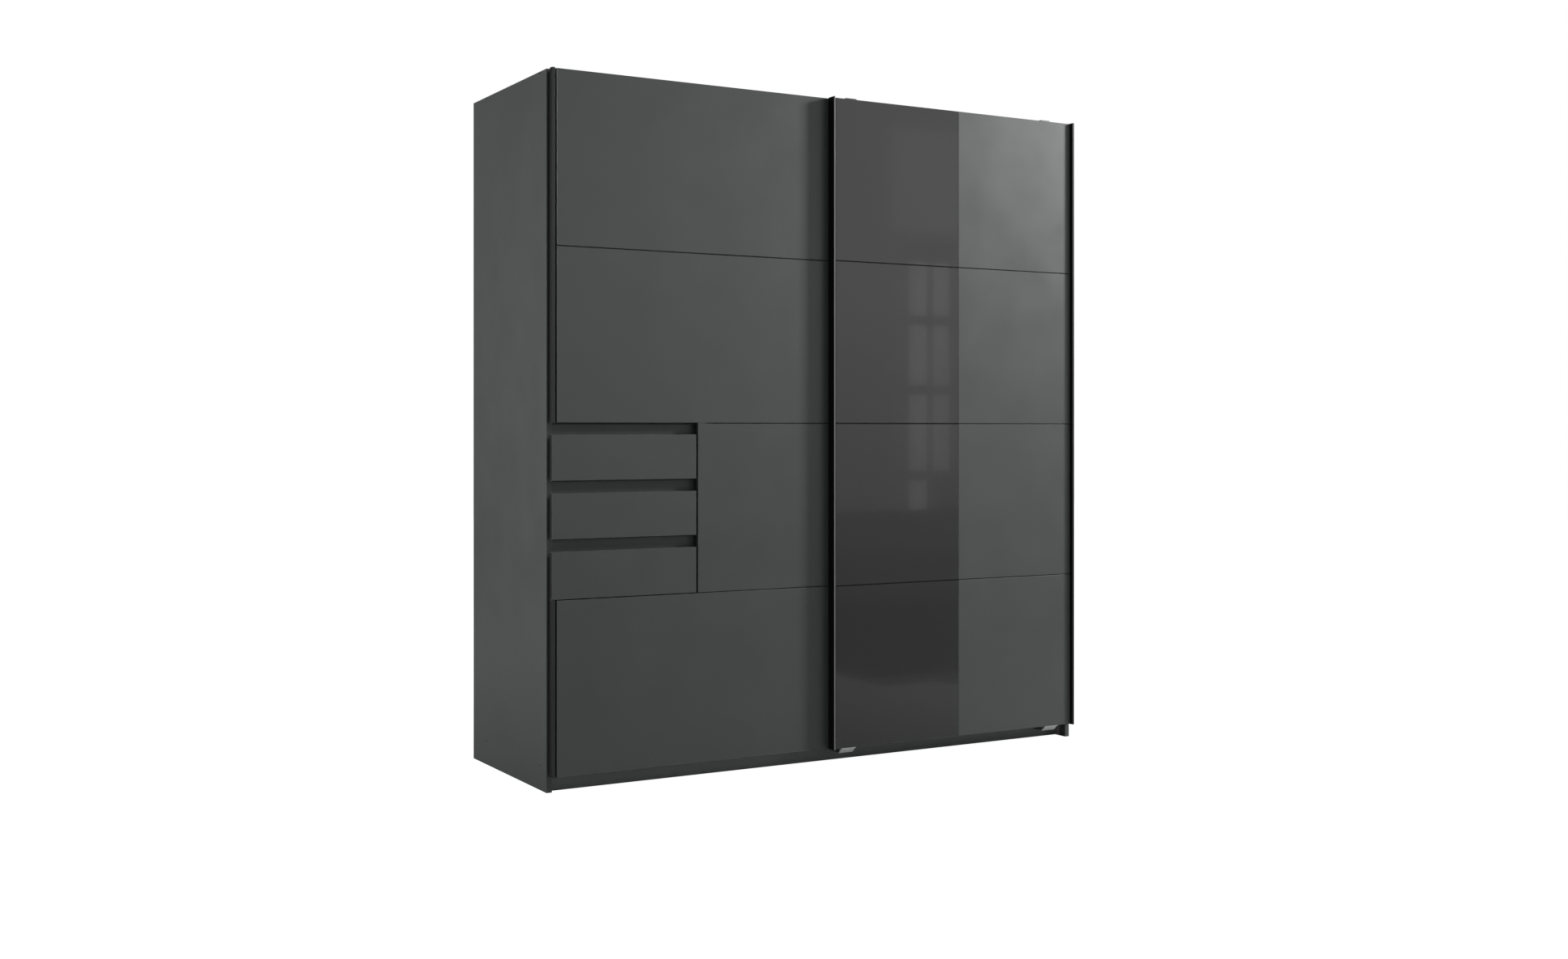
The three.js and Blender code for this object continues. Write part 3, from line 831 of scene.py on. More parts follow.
def make_recess_shade_strips():
    """Black strips along the top of each grip recess: painted shade under the front above it."""
    bm = bmesh.new()
    edges = {
        1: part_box("grip_rail_1")[1].z,
        2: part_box("drawer_1_front")[0].z,
        3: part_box("drawer_2_front")[0].z,
    }
    for number, edge in edges.items():
        low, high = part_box(f"grip_rail_{number}")
        add_box(bm, (low.x + 1 * MM, low.y - 1.2 * MM, edge - 3.6 * MM),
                (high.x - 1 * MM, low.y - 0.1 * MM, edge - 0.4 * MM), 0.3 * MM, segments=1)
    finish_piece(bm, "grip_recess_shade_strips", ["rubber_and_painted_shade"], "carcass")


def make_back_panel():
    """Thin board folded once for transport: lacquered inside, raw fibre behind."""
    low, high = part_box("back_panel")
    middle = (low.x + high.x) / 2
    half_fold = 0.4 * MM
    bm = bmesh.new()
    for x0, x1 in ((low.x, middle - half_fold), (middle + half_fold, high.x)):
        add_box(bm, (x0, low.y, low.z), (x1, high.y, high.z), 0.15 * MM, {"-y": 1}, segments=1)
    replace_node(bm, "back_panel", "folded", ["fibreboard", "linen_face"], smooth=False)

    bm = bmesh.new()
    half_tape = 18 * MM
    add_box(bm, (middle - half_tape, high.y + 0.05 * MM, low.z + 1 * MM),
            (middle + half_tape, high.y + 0.3 * MM, high.z - 1 * MM), 0.08 * MM, segments=1)
    finish_piece(bm, "back_panel_hinge_tape", ["drawer_foil"], "carcass")


def make_back_nails():
    """Flat-headed nails that hold the back panel to the boards in front of it."""
    low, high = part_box("back_panel")
    half_board = 8 * MM
    across, along_partition, along_side = 13, 15, 17  # nails in one row
    bm = bmesh.new()
    head = mm((0, 0), (3.2, 0), (3.2, 0.35), (2.6, 0.6), (0, 0.6))
    boards = ("bottom_panel", "unit_bottom_shelf", "unit_top_shelf", "top_panel")
    places = [(x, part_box(board)[0].z + half_board) for board in boards
              for x in even(low.x + 30 * MM, high.x - 30 * MM, across)]
    partition = middle_of("centre_partition").x
    beside_tape = partition + 25 * MM
    places += [(beside_tape, z)
               for z in even(low.z + 90 * MM, high.z - 90 * MM, along_partition)]
    places += [(x, z) for x in (low.x + 9 * MM, high.x - 9 * MM)
               for z in even(low.z + 60 * MM, high.z - 60 * MM, along_side)]
    for x, z in places:
        add_lathe(bm, head, (x, high.y + 0.02 * MM, z), "+y", 16)
    finish_piece(bm, "back_panel_nails", ["screw_steel"], "carcass")


def make_side_caps():
    """Cover caps over the screws that hold the top and bottom panels."""
    radius = sizes().cap_radius
    screw_rows = (52 * MM, 473 * MM)  # behind the front edge of the side panel
    dome = [(0, 0), (radius, 0), (radius, 0.5 * MM), (radius * 0.86, 1.0 * MM), (0, 1.2 * MM)]
    for node, axis in (("left_side_panel", "-x"), ("right_side_panel", "+x")):
        low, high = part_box(node)
        outer = low.x if axis == "-x" else high.x
        bm = bmesh.new()
        for board in ("bottom_panel", "top_panel"):
            for back in screw_rows:
                add_lathe(bm, dome, (outer, low.y + back, middle_of(board).z), axis, 28)
        finish_piece(bm, f"{node}_screw_caps", ["graphite_cap"], "carcass",
                     smooth=True)


def make_clothes_rails():
    """Bright tubes held at both ends in flanged sockets."""
    for side in ENDS:
        node = f"clothes_rail_{side}"
        low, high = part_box(node)
        middle = (low + high) / 2
        outer = (high.z - low.z) / 2
        tube_wall = 1.5 * MM
        bore = outer - tube_wall
        bm = bmesh.new()
        length = high.x - low.x
        tube = [(bore, 0), (outer, 0), (outer, length), (bore, length)]
        add_lathe(bm, tube, (low.x, middle.y, middle.z), "+x", 48)
        replace_node(bm, node, "tube", ["plated_tube"])
        bm = bmesh.new()
        ring, flange, deep = outer + 0.4 * MM, outer + 10 * MM, 12 * MM
        socket = [
            (ring, 0), (flange, 0), (flange, 2.2 * MM), (flange - 0.8 * MM, 3 * MM),
            (outer + 4 * MM, 3 * MM), (outer + 2.8 * MM, 4.5 * MM),
            (outer + 2.4 * MM, deep - 0.6 * MM), (outer + 1.8 * MM, deep), (ring, deep),
        ]
        for x, axis in ((low.x, "+x"), (high.x, "-x")):
            add_lathe(bm, socket, (x, middle.y, middle.z), axis, 48, 0)
            step = 3 * MM if axis == "+x" else -3 * MM
            reach = outer + 7 * MM
            spots = [(x + step, middle.y, middle.z + s * reach) for s in (-1, 1)]
            add_screws(bm, spots, axis, 2.6 * MM, 1, 0.9 * MM)
        finish_piece(bm, f"{node}_sockets", ["nylon", "screw_steel"], "carcass",
                     smooth=True)


def make_shelf_pins():
    """Steel pins with a flat seat under each hat shelf."""
    bm = bmesh.new()
    pin = mm((0, 0), (3.4, 0), (3.4, 1.4), (2.4, 2), (2.4, 7), (0, 7))
    for side in ENDS:
        low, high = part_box(f"shelf_{side}")
        top = low.z - 0.2 * MM
        for x, out in ((low.x - 0.1 * MM, 1), (high.x + 0.1 * MM, -1)):
            for y in (low.y + 50 * MM, high.y - 60 * MM):
                ends = sorted((x, x + out * 9 * MM))
                add_box(bm, (ends[0], y - 4 * MM, top - 2 * MM), (ends[1], y + 4 * MM, top),
                        0.4 * MM)
                axis = "+x" if out > 0 else "-x"
                add_lathe(bm, pin, (x, y, top - 5.2 * MM), axis, 20)
    finish_piece(bm, "hat_shelf_pins", ["screw_steel"], "carcass", smooth=True)


def make_cam_fittings():
    """Round cams under the shelves and the top that lock them to their neighbours."""
    bm = bmesh.new()
    cam = mm((0, 0), (7.5, 0), (7.5, 0.5), (6, 0.8), (0, 0.8))
    slot = Vector((4 * MM, 1 * MM, 0.35 * MM))  # half size of the driver slot
    slot_depth = 1.05 * MM
    from_side, from_front = 34 * MM, 70 * MM
    for node in ("unit_bottom_shelf", "unit_top_shelf", "top_panel"):
        low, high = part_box(node)
        for x in (low.x + from_side, high.x - from_side):
            for y in (low.y + from_front, high.y - from_front):
                add_lathe(bm, cam, (x, y, low.z), "-z", 24)
                centre = Vector((x, y, low.z - slot_depth))
                add_box(bm, centre - slot, centre + slot, 0.2 * MM, index=1, segments=1)
    finish_piece(bm, "cam_fittings", ["zinc", "dark_plastic"], "carcass", smooth=True)


# ------------------------------------------------------------------ drawers

def roller_outline(collar):
    """Outline of a runner's roller that stands off its plate by a collar, in metres."""
    return mm((0, 0), (2.5, 0), (2.5, collar), (7.6, collar), (8, collar + 0.6),
              (8, collar + 6.4), (7.6, collar + 7), (0, collar + 7))


def make_runner_racks():
    """Rack plates with a roller at the mouth of every ledge."""
    for side in ENDS:
        refine(f"runner_rack_{side}", "white_enamel", 0.3 * MM, 1)
    bm = bmesh.new()
    plate = 1.7 * MM
    mouth = 14 * MM
    under_ledge = 20.6 * MM  # height of the roller's axle above the drawer's lower edge
    left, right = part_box("runner_rack_left")[0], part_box("runner_rack_right")[1]
    for number in DRAWERS:
        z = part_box(f"drawer_{number}_wrap")[0].z + under_ledge
        for axis, x in (("+x", left.x + plate), ("-x", right.x - plate)):
            add_lathe(bm, roller_outline(2), (x, left.y + mouth, z), axis, 32)
    finish_piece(bm, "runner_rack_rollers", ["nylon"], "carcass", smooth=True)


def make_drawer(number):
    """One drawer: banded front, folded box, bottom, runners and front connectors."""
    name = f"drawer_{number}"
    # The side faces of the front get the near-black flank material: painted shade.
    banded_board(f"{name}_front", ["-z", "+z", "-x", "+x"], flank="profile_flank_painted_shade")
    refine(f"{name}_wrap", "drawer_foil", 0.5 * MM)
    refine(f"{name}_bottom", "linen_face", 0.2 * MM, 1)

    low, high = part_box(f"{name}_wrap")
    bm = bmesh.new()
    for out, x in ((-1, low.x), (1, high.x)):
        outer = x + out * 0.15 * MM
        sheet = x + out * 1.35 * MM
        lip = x + out * 10.5 * MM
        foot = low.z + 2 * MM
        top = low.z + 30 * MM
        under_lip = top - 1.2 * MM
        outline = [(outer, foot), (sheet, foot), (sheet, under_lip), (lip, under_lip),
                   (lip, top), (outer, top)]
        add_prism(bm, outline, "y", low.y + 12 * MM, high.y - 4 * MM, 0.25 * MM, 0, 1)
        axis = "-x" if out < 0 else "+x"
        place = (sheet, high.y - 16 * MM, low.z + 8.4 * MM)
        add_lathe(bm, roller_outline(1.6), place, axis, 32, 1)
        spots = [(sheet, y, low.z + 14 * MM) for y in even(low.y + 60 * MM, high.y - 70 * MM, 3)]
        add_screws(bm, spots, axis, 3 * MM, 2, 1.0 * MM)
    finish_piece(bm, f"{name}_runners", ["white_enamel", "nylon", "screw_steel"], name,
                 smooth=True)

    bm = bmesh.new()
    front_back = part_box(f"{name}_front")[1].y
    side_wall = 12 * MM
    from_edge = 26 * MM
    half_height = 8 * MM
    connector_back = front_back + 12 * MM
    for x, out in ((low.x + side_wall, 1), (high.x - side_wall, -1)):
        for z in (low.z + from_edge, high.z - from_edge):
            near, far = sorted((x + out * 0.1 * MM, x + out * 12 * MM))
            add_box(bm, (near, front_back + 0.5 * MM, z - half_height),
                    (far, connector_back, z + half_height), 1.2 * MM, segments=3)
            spot = (x + out * 6 * MM, connector_back, z)
            add_screws(bm, [spot], "+y", 3 * MM, 1, 1.2 * MM)
    finish_piece(bm, f"{name}_front_connectors", ["dark_plastic", "screw_steel"], name,
                 smooth=True)


# ------------------------------------------------------------------ doors

def make_end_caps(name, nodes, body):
    """Thin moulded caps that close the upper and lower end of each profile."""
    bm = bmesh.new()
    for node in nodes:
        low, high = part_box(node)
        for z, out in ((low.z, -1), (high.z, 1)):
            profile = solid_of_node(node)
            rim = max(profile.faces, key=lambda f: out * f.calc_center_median().z)
            outline = [(v.co.x, v.co.y) for v in rim.verts]
            profile.free()
            start, end = sorted((z + out * 0.1 * MM, z + out * 1.8 * MM))
            add_prism(bm, outline, "z", start, end, 0.5 * MM)
    finish_piece(bm, name, ["dark_plastic"], body, smooth=True)


def make_gap_shade_strips(door):
    """Strips set back in the gaps between the boards of a door; their black is painted shade in the
    gaps.
    """
    bm = bmesh.new()
    inset = 3.2 * MM
    flush = 27 * MM
    for upper, lower in zip(ROWS, ROWS[1:]):
        above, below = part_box(f"{door}_board_{upper}"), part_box(f"{door}_board_{lower}")
        low_x = max(above[0].x, below[0].x)
        high_x = min(above[1].x, below[1].x)
        bottom, top = below[1].z + 0.1 * MM, above[0].z - 0.1 * MM
        if below[0].x > above[0].x + flush:
            add_box(bm, (low_x, above[0].y + 0.7 * MM, bottom),
                    (low_x + flush, above[1].y - inset, top), 0.1 * MM, index=1, segments=1)
            low_x += flush + 0.1 * MM
        # Black strip: painted shade in the gap.
        add_box(bm, (low_x, above[0].y + inset, bottom), (high_x, above[1].y - inset, top),
                0.1 * MM, segments=1)
    finish_piece(bm, f"{door}_gap_shade_strips", ["rubber_and_painted_shade", "graphite_band"], door)


def make_left_door():
    """Rear door: four banded boards between coated profiles, with a notch for the drawers."""
    for row in ROWS:
        banded_board(f"left_door_board_{row}", ["-x", "+x", "-z", "+z"])
    profiles = [f"left_door_profile_{part}" for part in ("upper", "lower", "right")]
    for node in profiles:
        refine(node, "profile_coat", sizes().profile_round, 3, ["profile_flank_painted_shade"])
    make_end_caps("left_door_end_caps", profiles, "left_door")
    make_gap_shade_strips("left_door")


def make_glass(node):
    """A pane with a polished chamfer; its rim at the left and right is a streaky grey, lighter than
    its face: a painted highlight.
    """
    low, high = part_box(node)
    bm = bmesh.new()
    add_box(bm, low, high, sizes().glass_chamfer, {"-x": 1, "+x": 1}, 0, segments=1)
    for face in bm.faces:
        face.normal_update()
        if 0.5 < abs(face.normal.x) < 0.99 and abs(face.normal.z) < 0.1:
            face.material_index = 1
    replace_node(bm, node, "pane", ["lacquered_glass", "glass_rim_painted_highlight"], smooth=False)


def make_right_door():
    """Front door: boards with glass let into their left half, a fin and a handle profile."""
    for row in ROWS:
        refine(f"right_door_board_{row}", "graphite_face", sizes().band_round, 2)
        make_glass(f"right_door_glass_{row}")
    profiles = ["right_door_profile_left", "right_door_handle_profile"]
    fin = refine(profiles[0], "profile_coat", sizes().profile_round, 3,
                 ["profile_flank_painted_shade", "fin_front_painted_highlight"])
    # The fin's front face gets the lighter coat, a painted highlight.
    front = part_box(profiles[0])[0].y
    for face in fin.data.polygons:
        if face.center.y < front + 0.6 * MM and face.normal.y < -0.3:
            face.material_index = 2
    refine(profiles[1], "profile_coat", sizes().profile_round, 3, ["profile_flank_painted_shade"])
    make_end_caps("right_door_end_caps", profiles, "right_door")
    make_gap_shade_strips("right_door")


# ------------------------------------------------------------------ running gear

def add_strap(bm, node, path):
    """Sheet steel as wide as the node, bent along its outer path in (Y, Z)."""
    low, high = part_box(node)
    outline = bent_strip(path, STRAP, sizes().bend_radius)
    add_prism(bm, outline, "x", low.x, high.x, 0.3 * MM, 0, 1)


def make_hanger(door, end):
    """Hook over the door's top with screws in the leg and a riveted axle pin."""
    node = f"{door}_hanger_{end}"
    wheel = f"{door}_wheel_{end}"
    low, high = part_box(node)
    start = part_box(wheel)[0].y - 0.4 * MM
    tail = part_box(wheel)[0].z + 6 * MM
    bm = bmesh.new()
    add_strap(bm, node, [(high.y, tail), (high.y, high.z), (low.y, high.z), (low.y, low.z)])
    length = (high.y - start) / MM + 1.0
    pin = mm((0, 0), (2.2, 0), (2.7, 0.5), (2.7, length - 1), (4.2, length - 1),
             (4.2, length - 0.3), (3.2, length), (0, length))
    axle = middle_of(wheel)
    add_lathe(bm, pin, (axle.x, start, axle.z), "+y", 32, 1)
    spots = [(middle_of(node).x + s * 8 * MM, low.y + STRAP, low.z + z)
             for s in (-1, 1) for z in (12 * MM, 38 * MM)]
    add_screws(bm, spots, "+y", 3.4 * MM, 1, 1.3 * MM)
    replace_node(bm, node, "hook", ["dark_zinc", "screw_steel"])


def make_wheel(door, end):
    """Nylon wheel with a grooved rim and a pressed-in bearing."""
    node = f"{door}_wheel_{end}"
    low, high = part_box(node)
    half = (high.y - low.y) / 2 / MM
    outer = (high.z - low.z) / 2 / MM
    groove = outer - 2
    near = [
        (7.5, 0.6 - half), (outer - 2.6, 0.6 - half), (outer - 2.2, -half), (outer - 0.4, -half),
        (outer, 0.4 - half), (outer, -2.8), (outer - 0.3, -2.4), (groove + 0.2, -1.8), (groove, -1.5),
    ]
    far = [(radius, -height) for radius, height in reversed(near)]
    bearing = [(3.0, 0.3 - half), (7.4, 0.3 - half), (7.4, half - 0.3), (3.0, half - 0.3)]
    bm = bmesh.new()
    add_lathe(bm, mm(*near, *far), middle_of(node), "+y", 56, 0)
    add_lathe(bm, mm(*bearing), middle_of(node), "+y", 40, 1)
    replace_node(bm, node, "rim", ["nylon", "screw_steel"])


def make_guide(end):
    """Small guide that keeps the rear door's foot in the rail."""
    node = f"left_door_guide_{end}"
    low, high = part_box(node)
    blade_top = low.z + 19 * MM
    bm = bmesh.new()
    add_strap(bm, node, [(low.y, high.z), (low.y, low.z), (high.y, low.z), (high.y, blade_top)])
    spots = [(middle_of(node).x + s * 9 * MM, low.y + STRAP, high.z - 14 * MM) for s in (-1, 1)]
    add_screws(bm, spots, "+y", 3.2 * MM, 1, 1.3 * MM)
    replace_node(bm, node, "blade", ["zinc", "screw_steel"])


def make_bracket(end):
    """Folded bracket that leads the front door under the rear one into the rail."""
    node = f"right_door_bracket_{end}"
    low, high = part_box(node)
    lip = low.z + 15.2 * MM
    blade_top = low.z + 39 * MM
    bm = bmesh.new()
    add_strap(bm, node, [
        (low.y, lip), (low.y + 3.5 * MM, lip), (low.y + 19 * MM, low.z), (high.y, low.z),
        (high.y, blade_top),
    ])
    board_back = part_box("right_door_board_4")[1].y + JOINT_PLAY
    foot = low.z + 6.4 * MM
    add_box(bm, (low.x, board_back, foot), (high.x, board_back + STRAP, high.z), 0.4 * MM)
    spots = [(middle_of(node).x + s * 15 * MM, board_back + STRAP, high.z - drop)
             for s in (-1, 1) for drop in (12 * MM, 34 * MM)]
    add_screws(bm, spots, "+y", 3.2 * MM, 1, 1.2 * MM)
    replace_node(bm, node, "foot", ["zinc", "screw_steel"])


def make_track_and_rail():
    """Two-lane top track and the guide rail below, both screwed to the panels behind."""
    refine("top_track", "aluminium", 0.25 * MM, 1)
    refine("bottom_guide_rail", "dark_plastic", 0.3 * MM, 1)
    low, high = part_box("top_track")
    rail_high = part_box("bottom_guide_rail")[1]
    bm = bmesh.new()
    spots = [(x, high.y - 2.5 * MM, high.z - 12 * MM)
             for x in even(low.x + 60 * MM, high.x - 60 * MM, 7)]
    add_screws(bm, spots, "-y", 3.6 * MM, 0, 1.6 * MM)
    spots = [(x, rail_high.y - 2.5 * MM, rail_high.z - 2.4 * MM)
             for x in even(low.x + 90 * MM, high.x - 90 * MM, 6)]
    add_screws(bm, spots, "-y", 2.0 * MM, 0, 0.9 * MM)
    finish_piece(bm, "track_and_rail_screws", ["screw_steel"], "carcass")


def make_door_stops():
    """Rubber-faced stops in both lanes of the top track."""
    low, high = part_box("top_track")
    bm = bmesh.new()
    base = low.z + 3.2 * MM
    length = 16 * MM
    for door in DOORS:
        lane = middle_of(f"{door}_wheel_left").y
        for x, out in ((low.x + 34 * MM, 1), (high.x - 64 * MM, -1)):
            add_box(bm, (x, lane - 3.6 * MM, base + 3 * MM),
                    (x + length, lane + 3.6 * MM, base + 24 * MM), 1.2 * MM, segments=3)
            face = x + length if out > 0 else x
            near, far = sorted((face + out * 0.1 * MM, face + out * 2.5 * MM))
            add_box(bm, (near, lane - 3 * MM, base + 8 * MM), (far, lane + 3 * MM, base + 20 * MM),
                    0.6 * MM, index=1)
    finish_piece(bm, "track_door_stops", ["dark_plastic", "rubber_and_painted_shade"], "carcass",
                 smooth=True)


# ------------------------------------------------------------------ studio

def stage_mesh(bm, name, material, glossy_only=False):
    """A part of the studio; glossy_only leaves it to be seen in reflections alone."""
    mesh = bpy.data.meshes.new(name)
    bm.to_mesh(mesh)
    bm.free()
    mesh.materials.append(MATERIALS[material])
    thing = bpy.data.objects.new(name, mesh)
    bpy.context.scene.collection.objects.link(thing)
    if glossy_only:
        thing.visible_camera = False
        thing.visible_diffuse = False
        thing.visible_transmission = False
        thing.visible_shadow = False


def make_floor():
    bm = bmesh.new()
    half, deep = 14.0, 0.02
    add_box(bm, (-half, -half, -deep), (half, half, 0.0), 0.0)
    stage_mesh(bm, "studio_floor", "studio_floor")


def make_world():
    """Even room light, with a backdrop that is brighter than the light it gives."""
    world = bpy.data.worlds.new("studio_room")
    bpy.context.scene.world = world
    world.use_nodes = True
    tree = world.node_tree
    background = tree.nodes["Background"]
    background.inputs["Color"].default_value = (1.0, 1.0, 1.0, 1.0)
    seen = put(tree, "ShaderNodeLightPath").outputs["Is Camera Ray"]
    strength = remap(tree, seen, 0.0, 1.0, studio().sky, studio().backdrop)
    tree.links.new(strength, background.inputs["Strength"])
    bpy.context.scene.view_settings.view_transform = "Standard"


def aim(thing, target):
    thing.rotation_euler = (Vector(target) - thing.location).to_track_quat("-Z", "Y").to_euler()


def add_softbox(name, power, width, height, place, target):
    light = bpy.data.lights.new(name, "AREA")
    light.energy = power
    light.shape = "RECTANGLE"
    light.size, light.size_y = width, height
    lamp = bpy.data.objects.new(name, light)
    lamp.location = place
    aim(lamp, target)
    lamp.visible_camera = False
    bpy.context.scene.collection.objects.link(lamp)


def make_lights():
    low, high = CAD_BOX
    middle = (low + high) / 2
    add_softbox("key_softbox", studio().key_power, 0.8, 1.1,
                (4.45, -2.15, 3.15), middle + Vector((0.2, -0.3, 0.1)))
    add_softbox("fill_softbox", studio().fill_power, 2.6, 2.6,
                (-4.4, 1.9, 1.2), middle - Vector((0.0, 0.0, 0.2)))


def glowing(name, strength, color, dimmest=1.0, rise=(0.3, 1.9)):
    """Emission that varies softly and may be dimmer below the given rise."""
    tree, shader = start_material(name, Roughness=1.0)
    shader.inputs["Base Color"].default_value = (0, 0, 0, 1)
    shader.inputs["Specular IOR Level"].default_value = 0.0
    place = object_place(tree)
    height = put(tree, "ShaderNodeSeparateXYZ", {"Vector": place}).outputs["Z"]
    growth = remap(tree, height, *rise, dimmest, 1.08)
    clouds = tint(tree, noise(tree, place, 0.9, 2.0), color, 0.12)
    glow = put(tree, "ShaderNodeVectorMath", {0: clouds, "Scale": growth}, operation="SCALE")
    tree.links.new(glow.outputs["Vector"], shader.inputs["Emission Color"])
    shader.inputs["Emission Strength"].default_value = strength


def make_room_in_glass():
    """Glowing wall, barred window and low bench that only the glossy surfaces show, as painted
    reflections of a room; they are dimmer lower down as painted shade, and a dark slab on the floor
    before the bench is its painted shadow.
    """
    glow = studio().wall_glow
    glowing("wall_glow", glow, (1.0, 0.99, 0.98), 0.7)
    glowing("window_glow", studio().window_glow, (0.99, 1.0, 1.0), 0.85)
    glowing("frame_glow", glow * 0.9, (1.0, 0.97, 0.97), 0.68)
    glowing("transom_glow", glow * 1.15, (1.0, 1.0, 1.0))
    glowing("shade_glow", glow * 0.47, (1.0, 1.0, 1.0))
    glowing("bench_glow", glow * 0.49, (1.0, 1.0, 1.0), 0.74, (0.28, 0.48))

    wall = -4.8
    frame_face = wall + 0.006
    pane_back, pane_face = wall + 0.01, wall + 0.03
    bars = (0.50, 0.74, 1.27, 1.70, 2.09)  # heights of the glazing bars
    bar = 0.06
    # left edge, right edge and lowest lit pane of each column
    columns = ((3.30, 3.42, 0), (3.485, 3.59, 1), (3.86, 4.10, 0), (4.2, 4.45, 0))
    panes = [
        ((left, pane_back, low), (right, pane_face, high - bar), 0.0)
        for left, right, first in columns for low, high in zip(bars[first:], bars[first + 1:])
    ]
    room = {
        "studio_wall": ("wall_glow", [((-2.0, wall - 0.02, 0.42), (7.5, wall, 3.6), 0.0)]),
        "studio_window": ("window_glow", panes),
        "studio_window_frame": (
            "frame_glow", [((3.25, wall + 0.002, 0.48), (3.72, frame_face, 2.16), 0.0)]),
        "studio_window_transom": (
            "transom_glow", [((3.18, wall + 0.002, 2.22), (3.68, frame_face, 2.86), 0.0)]),
        "studio_bench": ("bench_glow", [
            ((0.94, -2.5, 0.002), (4.6, -1.65, 0.39), 0.08),
            ((1.47, -2.9, 0.002), (4.8, -2.55, 0.61), 0.10)]),
        # Dim slab on the floor before the bench: the bench's painted shadow.
        "studio_bench_shade": ("shade_glow", [
            ((0.98, -1.9, 0.001), (4.6, -1.54, 0.003), 0.0),
            ((1.22, -1.9, 0.004), (4.6, -1.42, 0.006), 0.0)]),
    }
    for name, (material, boxes) in room.items():
        bm = bmesh.new()
        for low, high, radius in boxes:
            add_box(bm, low, high, radius, segments=4)
        stage_mesh(bm, name, material, glossy_only=True)


def make_camera():
    camera = bpy.data.cameras.new("view_camera")
    camera.sensor_width = 36.0
    camera.lens = studio().lens
    camera.shift_y = studio().rise
    camera.clip_end = 60.0
    holder = bpy.data.objects.new("view_camera", camera)
    holder.location = studio().camera_place
    holder.rotation_euler = (math.radians(90), 0, studio().camera_turn)
    bpy.context.scene.collection.objects.link(holder)
    bpy.context.scene.camera = holder


# ------------------------------------------------------------------ operators

class WARDROBE_OT_finishes(bpy.types.Operator):
    """Builds the shared surface effects and every finish"""
    bl_idname = "wardrobe.finishes"
    bl_label = "Finishes"

    def execute(self, context):
        build_groups()
        build_materials()
        return {"FINISHED"}


class WARDROBE_OT_studio(bpy.types.Operator):
    """Sets up the floor, the lights, the window and the camera"""
    bl_idname = "wardrobe.studio"
    bl_label = "Studio"

    def execute(self, context):
        make_camera()
        make_floor()
        make_world()
        make_lights()
        make_room_in_glass()
        return {"FINISHED"}


class WARDROBE_OT_carcass(bpy.types.Operator):
    """Builds the boards of the carcass and the screw caps on its sides"""
    bl_idname = "wardrobe.carcass"
    bl_label = "Carcass boards"

    def execute(self, context):
        make_sides()
        make_horizontals()
        make_uprights()
        make_recess_shade_strips()
        make_side_caps()
        return {"FINISHED"}


class WARDROBE_OT_back(bpy.types.Operator):
    """Builds the folded back panel, its hinge tape and its nails"""
    bl_idname = "wardrobe.back"
    bl_label = "Back panel"

    def execute(self, context):
        make_back_panel()
        make_back_nails()
        return {"FINISHED"}


class WARDROBE_OT_fittings(bpy.types.Operator):
    """Builds the clothes rails with their sockets, the shelf pins and the cams"""
    bl_idname = "wardrobe.fittings"
    bl_label = "Inner fittings"

    def execute(self, context):
        make_clothes_rails()
        make_shelf_pins()
        make_cam_fittings()
        return {"FINISHED"}


class WARDROBE_OT_drawers(bpy.types.Operator):
    """Builds the runner racks and the three drawers"""
    bl_idname = "wardrobe.drawers"
    bl_label = "Drawers"

    def execute(self, context):
        make_runner_racks()
        for number in DRAWERS:
            make_drawer(number)
        return {"FINISHED"}


class WARDROBE_OT_left_door(bpy.types.Operator):
    """Builds the rear door with its notch for the drawers"""
    bl_idname = "wardrobe.left_door"
    bl_label = "Left door"

    def execute(self, context):
        make_left_door()
        return {"FINISHED"}


class WARDROBE_OT_right_door(bpy.types.Operator):
    """Builds the front door with its glass half and handle profile"""
    bl_idname = "wardrobe.right_door"
    bl_label = "Right door"

    def execute(self, context):
        make_right_door()
        return {"FINISHED"}


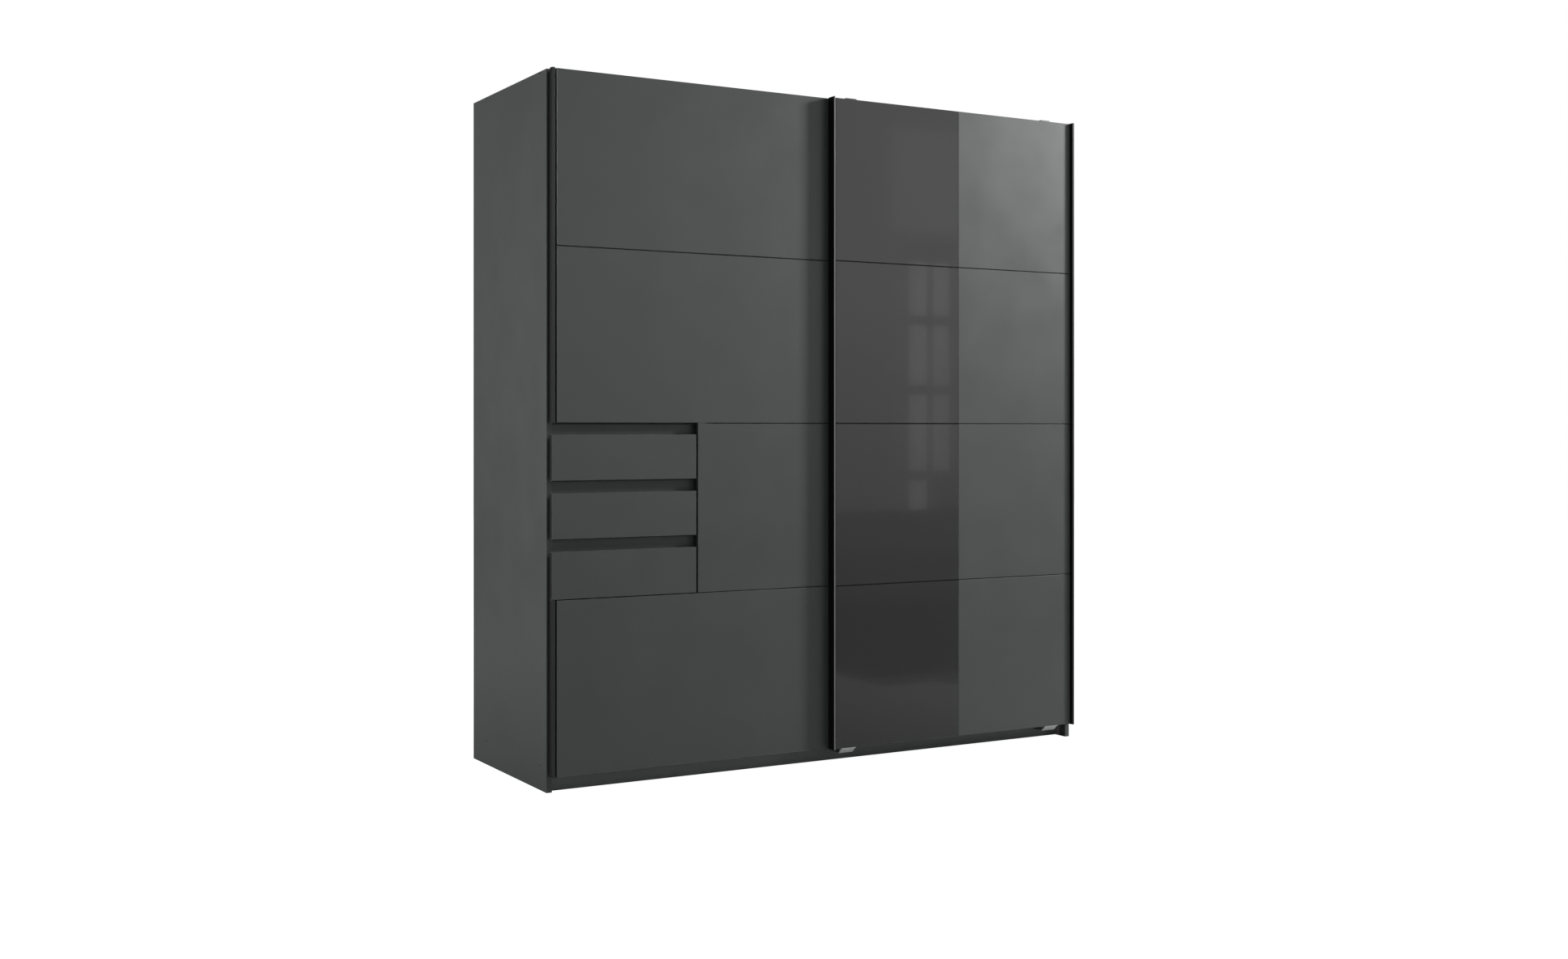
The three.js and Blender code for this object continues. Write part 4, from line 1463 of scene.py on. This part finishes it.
class WARDROBE_OT_running_gear(bpy.types.Operator):
    """Builds the track, the rail, the hangers, wheels, guides, brackets and stops"""
    bl_idname = "wardrobe.running_gear"
    bl_label = "Running gear"

    def execute(self, context):
        make_track_and_rail()
        for make in (make_hanger, make_wheel):
            for door in DOORS:
                for end in ENDS:
                    make(door, end)
        for make in (make_guide, make_bracket):
            for end in ENDS:
                make(end)
        make_door_stops()
        return {"FINISHED"}


STEPS = (
    "finishes", "studio", "carcass", "back", "fittings", "drawers", "left_door", "right_door",
    "running_gear",
)


class WARDROBE_PT_panel(bpy.types.Panel):
    """Lists the wardrobe's settings and its building steps"""
    bl_idname = "WARDROBE_PT_panel"
    bl_label = "Sliding Door Wardrobe"
    bl_space_type = "VIEW_3D"
    bl_region_type = "UI"
    bl_category = "Wardrobe"

    def draw(self, context):
        layout = self.layout
        for settings in (sizes(), finishes(), studio()):
            box = layout.box()
            for key in settings.bl_rna.properties.keys():
                if key not in ("rna_type", "name"):
                    box.prop(settings, key)
        for step in STEPS:
            layout.operator(f"wardrobe.{step}")


CLASSES = (
    WardrobeSizes, WardrobeFinishes, WardrobeStudio,
    WARDROBE_OT_finishes, WARDROBE_OT_studio, WARDROBE_OT_carcass, WARDROBE_OT_back,
    WARDROBE_OT_fittings, WARDROBE_OT_drawers, WARDROBE_OT_left_door, WARDROBE_OT_right_door,
    WARDROBE_OT_running_gear, WARDROBE_PT_panel,
)


def register():
    for item in CLASSES:
        bpy.utils.register_class(item)
    scene = bpy.types.Scene
    scene.wardrobe_sizes = bpy.props.PointerProperty(type=WardrobeSizes)
    scene.wardrobe_finishes = bpy.props.PointerProperty(type=WardrobeFinishes)
    scene.wardrobe_studio = bpy.props.PointerProperty(type=WardrobeStudio)


def unregister():
    scene = bpy.types.Scene
    del scene.wardrobe_sizes, scene.wardrobe_finishes, scene.wardrobe_studio
    for item in reversed(CLASSES):
        bpy.utils.unregister_class(item)


def main():
    register()
    for step in STEPS:
        getattr(bpy.ops.wardrobe, step)()


if __name__ == "__main__":
    main()
